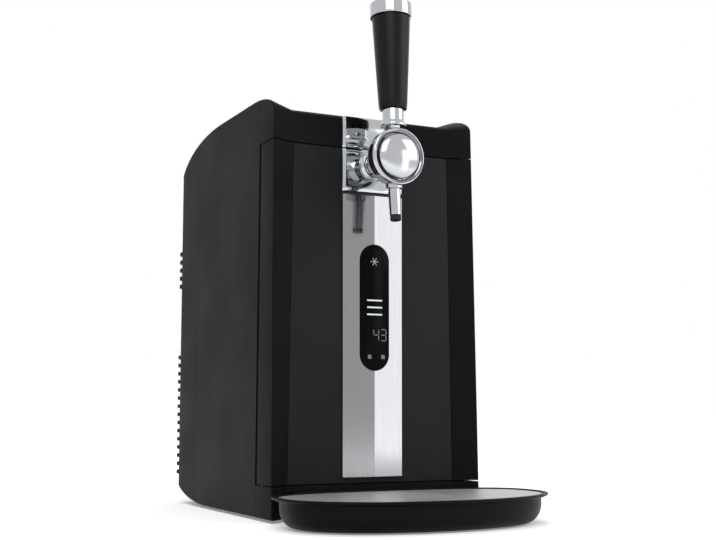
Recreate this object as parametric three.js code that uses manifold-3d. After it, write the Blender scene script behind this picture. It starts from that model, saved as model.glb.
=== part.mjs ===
// Countertop mini keg beer dispenser with a hinged door, a lever tap and a drip tray.
// Millimetres, +Z up. The tap faces -Y. The flat face of the door lies in the plane Y = 0
// of the machine's own group, which is moved at the end so that the origin is on the ground.
import * as THREE from 'three';
import { mergeVertices } from 'three/addons/utils/BufferGeometryUtils.js';
import Module from 'manifold-3d';

const wasm = await Module();
wasm.setup();

// Driving dimensions of the whole machine, which is built round its keg
const kegRadius = 97.5;
const kegClearance = 2;
const sideThickness = 24;
const sideLean = 5.4;
const serviceDepth = 61.5;
const bodyTop = 446.5;
const underside = 3.2;
const panelWall = 3;
const fit = 0.3;
const cutOverrun = 5;

// Valley between the two cheeks, on the front and on the top
const cheekWidth = 24;
const creaseLean = 8.3;
const cheekReachLow = 17.5;
const cheekReachHigh = 10;
const valleyDepth = 9;

// Curves of the side profile
const heelLength = 115;
const heelRise = 32;
const shoulderLength = 152;
const shoulderBase = 385;
const shoulderExponent = 2.15;
const browStart = 50;
const browBase = 425;
const rearCorner = 14;

// Seams of the casing
const doorBottom = 38;
const doorTop = 394.4;
const doorBack = 28;
const doorGap = 1.2;
const rearSeam = 230;
const seamGap = 0.5;
const seamLand = 0.4;

// Base pan, feet and plinth
const panThickness = 3;
const footRadius = 12;
const footFlare = 2;
const footInset = 39.5;
const frontFootY = 45;
const rearFootSetback = 117;

// Keg chamber and insulation
const chamberFloor = 42;
const chamberCeiling = 391;
const linerWall = 1.5;
const frameThickness = 8.2;
const insulationInset = 11.5;
const rearFoam = 12.5;
const kegSeatInset = 19.5;
const kegSeatHole = 30;
const kegSeatThickness = 4;

// Cooling unit
const coldPlateHalfWidth = 38;
const coldPlateLow = 152;
const coldPlateHigh = 248;
const coldPlateThickness = 17.5;
const peltierHalf = 20;
const peltierThickness = 3.7;
const sinkHalfWidth = 42;
const sinkHalfHeight = 60;
const sinkBase = 4.7;
const sinkDepth = 17;
const finThickness = 1.4;
const finCount = 13;
const fanHalf = 40;
const fanDepth = 15;
const fanHoleRadius = 37.5;
const fanHubRadius = 14;
const fanBladeRadius = 35.5;
const fanBladeCount = 7;
const fanBladeThickness = 1.6;
const fanBladePitch = 38;
const fanStrutWidth = 4;
const fanMotorThickness = 3;
const fanShaftRadius = 2;
const runningGap = 0.05;

// Electric and air supply
const supplyHalfWidth = 50;
const supplyLow = 44;
const supplyHigh = 96;
const supplyDepth = 32;
const supplySlotWidth = 3;
const supplySlotDepth = 2;
const supplySlotCount = 8;
const pumpRadius = 15;
const pumpHalfLength = 34;
const pumpRise = 66;
const pumpHeadLength = 16;
const pumpHeadHalf = 17;
const pumpFootThickness = 4;
const pumpPortRadius = 3.2;
const pumpPortHeight = 6;
const airTubeRadius = 3;
const airTubeBore = 1.6;
const airTubeRise = 42;
const airTubeBend = 12;
const nozzleRadius = 5;
const nozzleFlangeRadius = 9;
const nozzleFlangeThickness = 2.5;
const nozzleLength = 12;
const socketHalfWidth = 14;
const socketHalfHeight = 11;
const socketFlange = 3;
const socketFlangeThickness = 2;
const socketDepth = 20;
const socketWall = 2;
const socketPinWidth = 2;
const socketPinHeight = 5;
const socketPinLength = 9;
const socketPinSpacing = 7;
const socketX = 72;
const controlsZ = 222;
const switchHalfWidth = 7;
const switchHalfHeight = 11;
const switchRockerProud = 2.4;
const switchRockerDepth = 9;
const switchPivotRadius = 1.5;
const switchClearance = 1.6;

// Ribs and vents on the back
const ribProud = 9;
const ribCorner = 12;
const ribPitch = 10.2;
const ribThickness = 4.6;
const ribRoot = 7;
const lowerRibsFrom = 36;
const lowerRibCount = 15;
const upperRibsFrom = 268;
const upperRibCount = 5;
const ventInset = 41.5;

// Door
const doorChamfer = 4;
const doorPanelThickness = 3;
const doorLinerThickness = 3;
const gasketInset = 11.5;
const gasketWidth = 8;
const gasketThickness = 2.9;
const gasketMargin = 9;
const hingeInset = 10;
const hingeSetback = 9;
const hingePinRadius = 3;
const hingePinLength = 22;
const hingeBossRadius = 6.5;
const hingeBossHeight = 12;
const washerRadius = 7;
const magnetHalfWidth = 5;
const magnetHeight = 34;
const magnetThickness = 4;
const latchPlateThickness = 1.2;
const latchHeight = 215;

// Chrome strip with the display
const stripHalfWidth = 36;
const stripProud = 4;
const stripCrown = 1.2;
const stripChamfer = 2.5;
const stripLow = 44.3;
const stripHigh = 345;
const mountLow = 349;
const trimTop = 428.5;
const displayHalfWidth = 17.4;
const displayLow = 157.3;
const displayHigh = 292.3;
const displayLensThickness = 6;
const boardThickness = 1.6;
const boardMargin = 4;

// Tap on the door
const tapY = -50;
const tapZ = 377.5;
const tapRimRadius = 30;
const tapRimBack = 5;
const tapRimFront = 9;
const tapNose = 12;
const tapRimLip = 24.6;
const tapGroove = 2.6;
const tapBodyBack = 25;
const tapBackRadius = 13;
const tapWaistRadius = 29.4;
const tapCavityRadius = 12;
const tapCavityHalf = 7;
const shankRadius = 11;
const shankBore = 4.5;
const rosetteRadius = 17;
const rosetteThickness = 4.5;
const medallionRadius = 19.2;
const medallionEdge = 2.2;
const medallionDome = 9;
const pivotPinRadius = 2.5;
const pivotPinHalf = 24;
const plungerRadius = 4;
const plungerLength = 10;
const spoutBossRadius = 9;
const spoutBossDrop = 3;
const spoutRadius = 6.6;
const spoutEndRadius = 6;
const spoutBore = 4.2;
const spoutEndZ = 317;
const spoutTipLength = 5.4;
const spoutLean = 6.2;

// Lever of the tap, measured from its pivot
const leverLean = 2.6;
const leverTravel = 30;
const collarFrom = 32.6;
const collarRadius = 13.4;
const collarRim = 2;
const collarTaper = 4;
const neckRadius = 11.3;
const gripFrom = 51;
const gripTo = 149;
const gripLowRadius = 15;
const gripHighRadius = 20;
const gripWaist = 14.2;
const gripWaistHeight = 8;
const capRadius = 21.9;
const capLength = 15.6;
const capBevel = 1.5;
const rodRadius = 5;
const rodEnd = 136;
const hubRadius = 7;
const hubHalfWidth = 6;
const tongueAngle = 25;
const tongueThickness = 5;
const tongueHalfWidth = 3;
const tongueClearance = 0.6;
const slotReachShare = 1.2;

// Drip tray and its plate
const trayTop = 31.5;
const trayBottom = 1.2;
const trayFront = 186;
const trayMiddle = 93;
const trayOverhang = 22.5;
const trayRearReach = 72;
const trayFrontExponent = 2.07;
const trayRearExponent = 2.9;
const trayLip = 4;
const trayLipReach = 7;
const trayWall = 2.6;
const trayFloorInset = 22;
const trayRim = 5;
const traySeatDepth = 3;
const trayTabInset = 2.5;
const trayTabDepth = 36;
const trayTabLow = 11;
const trayGap = 1.8;
const tongueX = 60;
const tongueHalf = 15;
const tongueLow = 14;
const tongueHigh = 20;
const tongueReach = 22;
const plateThickness = 1.5;
const plateSlotHalf = 34;
const plateSlotWidth = 4.6;
const plateSlotPitch = 12;
const plateSlotCount = 7;
const plateSlotY = -96;

// Smoothness of round forms
const arcSteps = 6;
const ribArcSteps = 3;
const trayArcSteps = 10;
const smallRound = 20;
const largeRound = 36;

// Places that follow from the dimensions above
const chamberHalfWidth = kegRadius + kegClearance;
const bodyHalfWidth = chamberHalfWidth + sideThickness;
const bodyTopHalfWidth = bodyHalfWidth - sideLean;
const creaseHalfWidth = bodyHalfWidth - cheekWidth;
const creaseTopHalfWidth = creaseHalfWidth - creaseLean;
const casingFront = doorBack + doorGap;
const sealFace = doorBack + gasketThickness + 2 * fit;
const linerFront = sealFace + frameThickness + fit;
const chamberAxis = linerFront + chamberHalfWidth;
const linerBack = chamberAxis + chamberHalfWidth + linerWall;
const insulationHalfWidth = bodyHalfWidth - insulationInset;
const insulationBack = linerBack + rearFoam;
const coldPlateBack = linerBack + coldPlateThickness;
const bodyDepth = linerBack + serviceDepth;
const shoulderStart = bodyDepth - shoulderLength;
const ventHalfWidth = bodyHalfWidth - ventInset;
const panTop = underside + panelWall + fit + panThickness;
const footSpacingHalf = bodyHalfWidth - footInset;
const rearFootY = bodyDepth - rearFootSetback;
const kegSeatRadius = kegRadius - kegSeatInset;
const gasketHalfWidth = bodyHalfWidth - gasketInset;
const trayHalfWidth = bodyHalfWidth + trayOverhang;
const trayTabHalfWidth = creaseHalfWidth - trayTabInset;
const peltierFront = coldPlateBack + fit;
const sinkFront = peltierFront + peltierThickness + fit;
const fanFront = sinkFront + sinkDepth + fit;
const coolingZ = (coldPlateLow + coldPlateHigh) / 2;
const pumpHeight = coolingZ + sinkHalfHeight + pumpRise;
const airTubeTop = pumpHeight + airTubeRise;
const rotorDepth = fanDepth - fanMotorThickness - 4 * fit;
const hingeX = -(bodyHalfWidth - hingeInset);
const hingeY = doorBack - hingeSetback;
const plinthTop = doorBottom - doorGap;
const capBottom = doorTop + doorGap;
const stripFace = -stripProud;
const valleyTop = bodyTop - valleyDepth;

// Turns a closed geometry into a solid with its faces pointing out.
function solid(form) {
  if (form instanceof wasm.Manifold) return form;
  const plain = new THREE.BufferGeometry();
  plain.setAttribute('position', form.getAttribute('position').clone());
  if (form.index) plain.setIndex(form.index.clone());
  const merged = mergeVertices(plain);
  const points = merged.getAttribute('position').array;
  const corners = merged.index.array;
  const triangles = [];
  let volume = 0;
  const corner = (i) => new THREE.Vector3().fromArray(points, 3 * i);
  for (let i = 0; i < corners.length; i += 3) {
    const [a, b, c] = [corners[i], corners[i + 1], corners[i + 2]];
    if (a === b || b === c || c === a) continue;
    triangles.push(a, b, c);
    volume += corner(a).dot(corner(b).cross(corner(c)));
  }
  if (volume < 0) triangles.reverse();
  const mesh = new wasm.Mesh({
    numProp: 3,
    vertProperties: Float32Array.from(points),
    triVerts: Uint32Array.from(triangles),
  });
  return new wasm.Manifold(mesh);
}

function join(...forms) {
  return forms.map(solid).reduce((whole, part) => whole.add(part));
}

function cut(form, ...tools) {
  return tools.map(solid).reduce((rest, tool) => rest.subtract(tool), solid(form));
}

function common(...forms) {
  return forms.map(solid).reduce((whole, part) => whole.intersect(part));
}

function geometryOf(form) {
  const mesh = solid(form).getMesh();
  const geometry = new THREE.BufferGeometry();
  const points = new Float32Array(mesh.numVert * 3);
  for (let i = 0; i < mesh.numVert; i += 1) {
    for (let k = 0; k < 3; k += 1) points[3 * i + k] = mesh.vertProperties[mesh.numProp * i + k];
  }
  geometry.setAttribute('position', new THREE.BufferAttribute(points, 3));
  geometry.setIndex(new THREE.BufferAttribute(mesh.triVerts, 1));
  geometry.computeVertexNormals();
  return geometry;
}

const mix = (a, b, share) => a + (b - a) * share;
const radians = THREE.MathUtils.degToRad;

// A box between two values on each axis
function block([x0, x1], [y0, y1], [z0, z1]) {
  const box = new THREE.BoxGeometry(x1 - x0, y1 - y0, z1 - z0);
  return box.translate((x0 + x1) / 2, (y0 + y1) / 2, (z0 + z1) / 2);
}

// A cylinder or cone along an axis, from its start point
function rod(axis, start, length, radius, endRadius = radius, sides = smallRound) {
  const drum = new THREE.CylinderGeometry(endRadius, radius, length, sides);
  drum.translate(0, length / 2, 0);
  if (axis === 'x') drum.rotateZ(-Math.PI / 2);
  if (axis === 'z') drum.rotateX(Math.PI / 2);
  return drum.translate(...start);
}

// A turned form: pairs of radius and height along an axis
function turned(axis, profile, centre, sides = largeRound) {
  const points = profile.map(([radius, height]) => new THREE.Vector2(radius, height));
  const form = new THREE.LatheGeometry(points, sides);
  if (axis === 'z') form.rotateX(Math.PI / 2);
  return form.translate(...centre);
}

// A straight prism of an outline, along Z, along X (outline in Y and Z) or Y (in X and Z)
function prism(axis, outline, from, to) {
  const shape = new THREE.Shape(outline.map(([a, b]) => new THREE.Vector2(a, b)));
  const form = new THREE.ExtrudeGeometry(shape, { depth: to - from, bevelEnabled: false, steps: 1 });
  form.translate(0, 0, from);
  const basis = new THREE.Matrix4();
  const [x, y, z] = [new THREE.Vector3(1, 0, 0), new THREE.Vector3(0, 1, 0), new THREE.Vector3(0, 0, 1)];
  if (axis === 'x') form.applyMatrix4(basis.makeBasis(y, z, x));
  if (axis === 'y') form.applyMatrix4(basis.makeBasis(x, z, y));
  return form;
}

// A skin over rings with equal numbers of points, closed by flat ends
function loft(rings, flatten) {
  const area = THREE.ShapeUtils.area(rings[0].map(flatten));
  const ordered = area < 0 ? rings.map((ring) => [...ring].reverse()) : rings;
  const count = ordered[0].length;
  const positions = ordered.flat().flatMap((point) => point.toArray());
  const index = [];
  for (let k = 0; k + 1 < ordered.length; k += 1) {
    for (let i = 0; i < count; i += 1) {
      const [a, b] = [k * count + i, k * count + ((i + 1) % count)];
      index.push(a, b, b + count, a, b + count, a + count);
    }
  }
  const last = (ordered.length - 1) * count;
  const ends = (ring) => THREE.ShapeUtils.triangulateShape(ring.map(flatten), []);
  for (const [a, b, c] of ends(ordered[0])) index.push(c, b, a);
  for (const [a, b, c] of ends(ordered.at(-1))) index.push(last + a, last + b, last + c);
  const form = new THREE.BufferGeometry();
  form.setAttribute('position', new THREE.Float32BufferAttribute(positions, 3));
  form.setIndex(index);
  return form;
}

const alongX = (point) => new THREE.Vector2(point.y, point.z);
const alongZ = (point) => new THREE.Vector2(point.x, point.y);

// Points of a quarter of a superellipse, counted in quarter turns from +first axis
function quarter([cx, cy], a, b, turn, shape = 2, steps = arcSteps) {
  const points = [];
  for (let i = 0; i <= steps; i += 1) {
    const angle = (turn + i / steps) * (Math.PI / 2);
    const [c, s] = [Math.cos(angle), Math.sin(angle)];
    const power = (value) => Math.sign(value) * Math.abs(value) ** (2 / shape);
    const snap = (value) => (Math.abs(value) < Number.EPSILON * 8 ? 0 : value);
    points.push([cx + a * power(snap(c)), cy + b * power(snap(s))]);
  }
  return points;
}

// The casing leans in a little towards the top
const heightShare = (z) => (z - underside) / (bodyTop - underside);
const halfWidthAt = (z) => mix(bodyHalfWidth, bodyTopHalfWidth, heightShare(z));
const creaseAt = (z) => mix(creaseHalfWidth, creaseTopHalfWidth, heightShare(z));

// Side view of the casing, as pairs of Y and Z
function sideProfile(reachLow, reachHigh, crown, inset) {
  const heel = [bodyDepth - heelLength, underside + heelRise];
  const shoulder = [shoulderStart, shoulderBase];
  const brow = [browStart, browBase];
  return [
    [-reachLow + inset, underside + inset],
    ...quarter(heel, heelLength - inset, heelRise - inset, -1),
    ...quarter(shoulder, bodyDepth - shoulderStart - inset, crown - shoulderBase - inset, 0, shoulderExponent),
    ...quarter(brow, browStart + reachHigh - inset, crown - browBase - inset, 1),
  ];
}

// Plan view of the casing at a height, with round rear corners
function planRing(z, inset, front, depth = bodyDepth, corner = rearCorner, steps = arcSteps) {
  const half = halfWidthAt(z) - inset;
  const radius = corner - inset;
  const back = depth - inset - radius;
  const outline = [
    [-half, front],
    [half, front],
    ...quarter([half - radius, back], radius, radius, 0, 2, steps),
    ...quarter([radius - half, back], radius, radius, 1, 2, steps),
  ];
  return outline.map(([x, y]) => new THREE.Vector3(x, y, z));
}

// The whole outside of the casing, or its inside at a given wall
const envelopes = new Map();
function envelope(inset) {
  if (envelopes.has(inset)) return envelopes.get(inset);
  const outer = sideProfile(cheekReachLow, cheekReachHigh, bodyTop, inset);
  const inner = sideProfile(0, 0, valleyTop, inset);
  const ring = (profile, side, widthAt) => profile.map(([y, z]) => new THREE.Vector3(side * widthAt(z), y, z));
  const insideWidth = (z) => halfWidthAt(z) - inset;
  const rings = [
    ring(outer, -1, insideWidth),
    ring(inner, -1, creaseAt),
    ring(inner, 1, creaseAt),
    ring(outer, 1, insideWidth),
  ];
  const front = -cheekReachLow - cutOverrun;
  const heights = [underside - cutOverrun, bodyTop + cutOverrun];
  const plan = loft(heights.map((z) => planRing(z, inset, front)), alongZ);
  const form = common(loft(rings, alongX), plan);
  envelopes.set(inset, form);
  return form;
}

// Everything between the two creases, made wider or narrower by a margin
function middle(margin) {
  const [low, high] = [underside - cutOverrun, bodyTop + cutOverrun];
  const outline = [
    [-creaseAt(low) - margin, low],
    [creaseAt(low) + margin, low],
    [creaseAt(high) + margin, high],
    [-creaseAt(high) - margin, high],
  ];
  return prism('y', outline, -cheekReachLow - cutOverrun, bodyDepth + cutOverrun);
}

const everyX = [-bodyHalfWidth - cutOverrun, bodyHalfWidth + cutOverrun];
const everyZ = [underside - cutOverrun, bodyTop + cutOverrun];
const frontY = -cheekReachLow - cutOverrun;
const backY = bodyDepth + cutOverrun;

// Materials, with the colours of the photograph
const finishes = {
  casing: ['#212224', 0.42, 0],
  frontPanel: ['#1d1e20', 0.38, 0],
  innerPlastic: ['#3b3d40', 0.6, 0],
  chrome: ['#d6d7d9', 0.12, 1],
  brushedTrim: ['#9fa1a3', 0.3, 1],
  steel: ['#b9babb', 0.35, 1],
  aluminium: ['#a9abad', 0.4, 1],
  foam: ['#d8d5cc', 0.95, 0],
  rubber: ['#161617', 0.85, 0],
  gloss: ['#060607', 0.08, 0],
  grip: ['#18181a', 0.45, 0],
  board: ['#1f5a3a', 0.55, 0],
  ceramic: ['#e6e4df', 0.7, 0],
  tray: ['#141415', 0.35, 0],
};

function piece(parent, name, finish, form) {
  const [color, roughness, metalness] = finishes[finish];
  const material = new THREE.MeshStandardMaterial({ color, roughness, metalness });
  const mesh = new THREE.Mesh(geometryOf(form), material);
  mesh.name = name;
  parent.add(mesh);
  return mesh;
}

const machine = new THREE.Group();
const housing = new THREE.Group();
const door = new THREE.Group();
const lever = new THREE.Group();
const tray = new THREE.Group();
machine.add(housing, door, tray);
door.add(lever);

// Casing shells: two sides with their cheeks, top, back, and the fixed parts above and below the door
function addCasing() {
  const shell = cut(envelope(0), envelope(panelWall));
  const sideY = [casingFront, rearSeam - seamGap / 2];
  const left = [everyX[0], 0];
  const right = [0, everyX[1]];
  for (const [name, x] of [['side_panel_left', left], ['side_panel_right', right]]) {
    piece(housing, name, 'casing', cut(common(shell, block(x, sideY, everyZ)), middle(seamLand)));
  }
  const topZ = [shoulderBase, everyZ[1]];
  piece(housing, 'top_cover', 'casing', common(shell, middle(seamLand - seamGap), block(everyX, sideY, topZ)));
  const capRange = [frontY, casingFront - seamGap];
  const capSpace = block(everyX, [frontY, backY], [capBottom + panelWall, everyZ[1]]);
  const capInside = common(envelope(panelWall), capSpace);
  const cap = cut(common(envelope(0), block(everyX, capRange, [capBottom, everyZ[1]])), capInside);
  piece(housing, 'top_cap', 'casing', cut(cap, hingeHole(capBottom + hingePinLength / 2)));
  addRearCover(shell);
}

const hingeHole = (z) => rod('z', [hingeX, hingeY, z - hingePinLength], 2 * hingePinLength, hingePinRadius + fit);

// The back: ribs that wrap round the corners, with vents cut between them
function addRearCover(shell) {
  const cover = common(shell, block(everyX, [rearSeam + seamGap / 2, backY], everyZ));
  const ribs = [];
  const vents = [];
  const groups = [[lowerRibsFrom, lowerRibCount], [upperRibsFrom, upperRibCount]];
  for (const [from, count] of groups) {
    for (let i = 0; i < count; i += 1) {
      const z = from + i * ribPitch;
      const root = bodyDepth - ribRoot;
      const levels = [z, z + ribThickness];
      const ribInset = seamGap;
      const [depth, corner] = [bodyDepth + ribProud + ribInset, ribCorner + ribInset];
      const ring = (level) => planRing(level, ribInset, root, depth, corner, ribArcSteps);
      ribs.push(cut(loft(levels.map(ring), alongZ), envelope(panelWall / 2)));
      if (i + 1 === count) continue;
      const gapZ = [z + ribThickness, z + ribPitch];
      vents.push(block([-ventHalfWidth, ventHalfWidth], [root, bodyDepth + ribProud], gapZ));
    }
  }
  const inletHole = socketHole(fit);
  const switchHole = rockerHole(fit);
  const ribbed = join(cover, ...ribs);
  piece(housing, 'rear_cover', 'casing', cut(ribbed, ...vents, inletHole, switchHole));
}

function socketHole(margin) {
  const x = [socketX - socketHalfWidth - margin, socketX + socketHalfWidth + margin];
  const z = [controlsZ - socketHalfHeight - margin, controlsZ + socketHalfHeight + margin];
  return block(x, [bodyDepth - socketDepth - margin, backY], z);
}

function rockerHole(margin) {
  const half = switchHalfWidth + socketWall;
  const height = switchHalfHeight + socketWall;
  const x = [-socketX - half - margin, -socketX + half + margin];
  const z = [controlsZ - height - margin, controlsZ + height + margin];
  return block(x, [bodyDepth - socketDepth - margin, backY], z);
}

// Base pan, rubber feet and the plinth below the door
function addBase() {
  const panZ = [underside + panelWall, panTop];
  const pan = common(envelope(panelWall + fit), block(everyX, [frontY, backY], panZ));
  piece(housing, 'base_pan', 'innerPlastic', pan);
  const footTop = underside + panelWall;
  const places = [['front_left', -1, frontFootY], ['front_right', 1, frontFootY],
    ['rear_left', -1, rearFootY], ['rear_right', 1, rearFootY]];
  for (const [name, side, y] of places) {
    const sole = footRadius - footFlare;
    const profile = [[0, 0], [sole, 0], [footRadius, footFlare], [footRadius, footTop], [0, footTop]];
    const foot = piece(housing, `foot_${name}`, 'rubber', turned('z', profile, [0, 0, 0], smallRound));
    foot.position.set(side * footSpacingHalf, y, 0);
  }
  const range = [frontY, casingFront - seamGap];
  const space = block(everyX, [frontY, backY], [everyZ[0], plinthTop - panelWall]);
  const inside = common(envelope(panelWall), space);
  const plinth = cut(common(envelope(0), block(everyX, range, [everyZ[0], plinthTop])), inside);
  const sockets = [-1, 1].map((side) => trayTongue(side, fit, -cutOverrun));
  piece(housing, 'front_plinth', 'casing', cut(plinth, ...sockets, hingeHole(plinthTop - hingePinLength / 2)));
}

// Keg chamber: sealing frame, aluminium liner, foam and a rubber seat for the keg
function addChamber() {
  const frameY = [sealFace, sealFace + frameThickness];
  const frameZ = [panTop + fit, everyZ[1]];
  const mouth = block([-chamberHalfWidth, chamberHalfWidth], [frontY, backY], [chamberFloor, chamberCeiling]);
  const strike = latchBlock(latchPlateThickness + fit, fit);
  const frame = cut(common(envelope(panelWall + fit), block(everyX, frameY, frameZ)), mouth, strike);
  piece(housing, 'chamber_frame', 'innerPlastic', frame);
  piece(housing, 'latch_plate', 'steel', latchBlock(latchPlateThickness, 0));

  const kegSpace = (margin, front) => {
    const radius = chamberHalfWidth + margin;
    const bend = (turn) => quarter([0, chamberAxis], radius, radius, turn, 2, 2 * arcSteps).reverse();
    const outline = [[-radius, front], ...bend(1), ...bend(0).slice(1), [radius, front]];
    return prism('z', outline, chamberFloor - margin, chamberCeiling + margin);
  };
  const port = rod('y', [0, chamberAxis, airTubeTop], insulationBack, nozzleRadius + fit);
  const linerOutside = common(kegSpace(linerWall, linerFront), block(everyX, [linerFront, backY], everyZ));
  const liner = cut(linerOutside, kegSpace(0, linerFront - cutOverrun), port);
  piece(housing, 'chamber_liner', 'aluminium', liner);

  const foamX = [-insulationHalfWidth, insulationHalfWidth];
  const foamY = [linerFront, insulationBack];
  const foam = common(envelope(panelWall + 2 * fit), block(foamX, foamY, [panTop + fit, bodyTop]));
  const room = kegSpace(linerWall + fit, linerFront - cutOverrun);
  const windowX = [-coldPlateHalfWidth - fit, coldPlateHalfWidth + fit];
  const window = block(windowX, [chamberAxis, backY], [coldPlateLow - fit, coldPlateHigh + fit]);
  piece(housing, 'insulation_body', 'foam', cut(foam, room, window, port));

  const seatProfile = [
    [kegSeatHole, 0], [kegSeatRadius, 0], [kegSeatRadius, kegSeatThickness],
    [kegSeatHole, kegSeatThickness], [kegSeatHole, 0],
  ];
  piece(housing, 'keg_seat', 'rubber', turned('z', seatProfile, [0, chamberAxis, chamberFloor + fit]));
}

// Steel strike let into the sealing frame, opposite the magnet in the door
function latchBlock(depth, margin) {
  const x = halfWidthAt(latchHeight) - panelWall - magnetHalfWidth - hingeInset / 2;
  const xs = [x - magnetHalfWidth - margin, x + magnetHalfWidth + margin];
  const zs = [latchHeight - magnetHeight / 2 - margin, latchHeight + magnetHeight / 2 + margin];
  const from = margin > 0 ? sealFace - fit : sealFace;
  return block(xs, [from, sealFace + depth], zs);
}

// Cold plate, thermoelectric module, heat sink and fan, one behind the other
function addCooling() {
  const plateX = [-coldPlateHalfWidth, coldPlateHalfWidth];
  const plate = block(plateX, [chamberAxis, coldPlateBack], [coldPlateLow, coldPlateHigh]);
  const seat = linerBack - chamberAxis + fit;
  const drum = rod('z', [0, chamberAxis, 0], bodyTop, seat, seat, 8 * arcSteps);
  piece(housing, 'cold_plate', 'aluminium', cut(plate, drum));
  const module = block([-peltierHalf, peltierHalf], [peltierFront, peltierFront + peltierThickness],
    [coolingZ - peltierHalf, coolingZ + peltierHalf]);
  piece(housing, 'thermoelectric_module', 'ceramic', module);

  const sinkZ = [coolingZ - sinkHalfHeight, coolingZ + sinkHalfHeight];
  const parts = [block([-sinkHalfWidth, sinkHalfWidth], [sinkFront, sinkFront + sinkBase], sinkZ)];
  for (let i = 0; i < finCount; i += 1) {
    const x = mix(-sinkHalfWidth, sinkHalfWidth - finThickness, i / (finCount - 1));
    parts.push(block([x, x + finThickness], [sinkFront, sinkFront + sinkDepth], sinkZ));
  }
  piece(housing, 'heat_sink', 'aluminium', join(...parts));

  const fanZ = [coolingZ - fanHalf, coolingZ + fanHalf];
  const frame = block([-fanHalf, fanHalf], [fanFront, fanFront + fanDepth], fanZ);
  const holeStart = [0, fanFront - cutOverrun, coolingZ];
  const hole = rod('y', holeStart, fanDepth + 2 * cutOverrun, fanHoleRadius, fanHoleRadius, largeRound);
  const motorY = fanFront + fanDepth - fanMotorThickness;
  const motor = rod('y', [0, motorY, coolingZ], fanMotorThickness, fanHubRadius);
  const half = fanStrutWidth / 2;
  const strutA = block([-fanHoleRadius - half, fanHoleRadius + half], [motorY, motorY + fanMotorThickness],
    [coolingZ - half, coolingZ + half]);
  const strutB = block([-half, half], [motorY, motorY + fanMotorThickness],
    [coolingZ - fanHoleRadius - half, coolingZ + fanHoleRadius + half]);
  const shaftLength = rotorDepth - fanMotorThickness;
  const shaft = rod('y', [0, motorY - shaftLength, coolingZ], shaftLength + fanMotorThickness, fanShaftRadius);
  piece(housing, 'fan_frame', 'grip', join(cut(frame, hole), motor, strutA, strutB, shaft));
  addFanRotor(motorY);
}

function addFanRotor(motorY) {
  const start = motorY - fit - rotorDepth;
  const hub = rod('y', [0, 0, 0], rotorDepth, fanHubRadius);
  const blades = [];
  for (let i = 0; i < fanBladeCount; i += 1) {
    const half = fanBladeThickness / 2;
    const span = rotorDepth * Math.cos(radians(fanBladePitch));
    const blade = block([-half, half], [-span / 2, span / 2], [fanShaftRadius * 2, fanBladeRadius]);
    blade.rotateZ(radians(fanBladePitch));
    blade.translate(0, rotorDepth / 2, 0);
    blade.rotateY((i / fanBladeCount) * 2 * Math.PI);
    blades.push(blade);
  }
  const bore = rod('y', [0, fanMotorThickness, 0], rotorDepth, fanShaftRadius + runningGap);
  const trim = rod('y', [0, 0, 0], rotorDepth, fanBladeRadius, fanBladeRadius, largeRound);
  const rotor = piece(housing, 'fan_rotor', 'grip', cut(common(join(hub, ...blades), trim), bore));
  rotor.position.set(0, start, coolingZ);
}

// Power supply, air pump with its tube and nozzle, mains inlet and rocker switch
function addSupplies() {
  const front = insulationBack + fit;
  const supplyX = [-supplyHalfWidth, supplyHalfWidth];
  const supply = block(supplyX, [front, front + supplyDepth], [supplyLow, supplyHigh]);
  const slots = [];
  for (let i = 0; i < supplySlotCount; i += 1) {
    const x = mix(-supplyHalfWidth, supplyHalfWidth, (i + 1) / (supplySlotCount + 1)) - supplySlotWidth / 2;
    const z = [mix(supplyLow, supplyHigh, 1 / 4), mix(supplyLow, supplyHigh, 3 / 4)];
    slots.push(block([x, x + supplySlotWidth], [front + supplyDepth - supplySlotDepth, backY], z));
  }
  piece(housing, 'power_supply', 'steel', cut(supply, ...slots));
  addAirPump(front);
  addRearControls();
}

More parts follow.
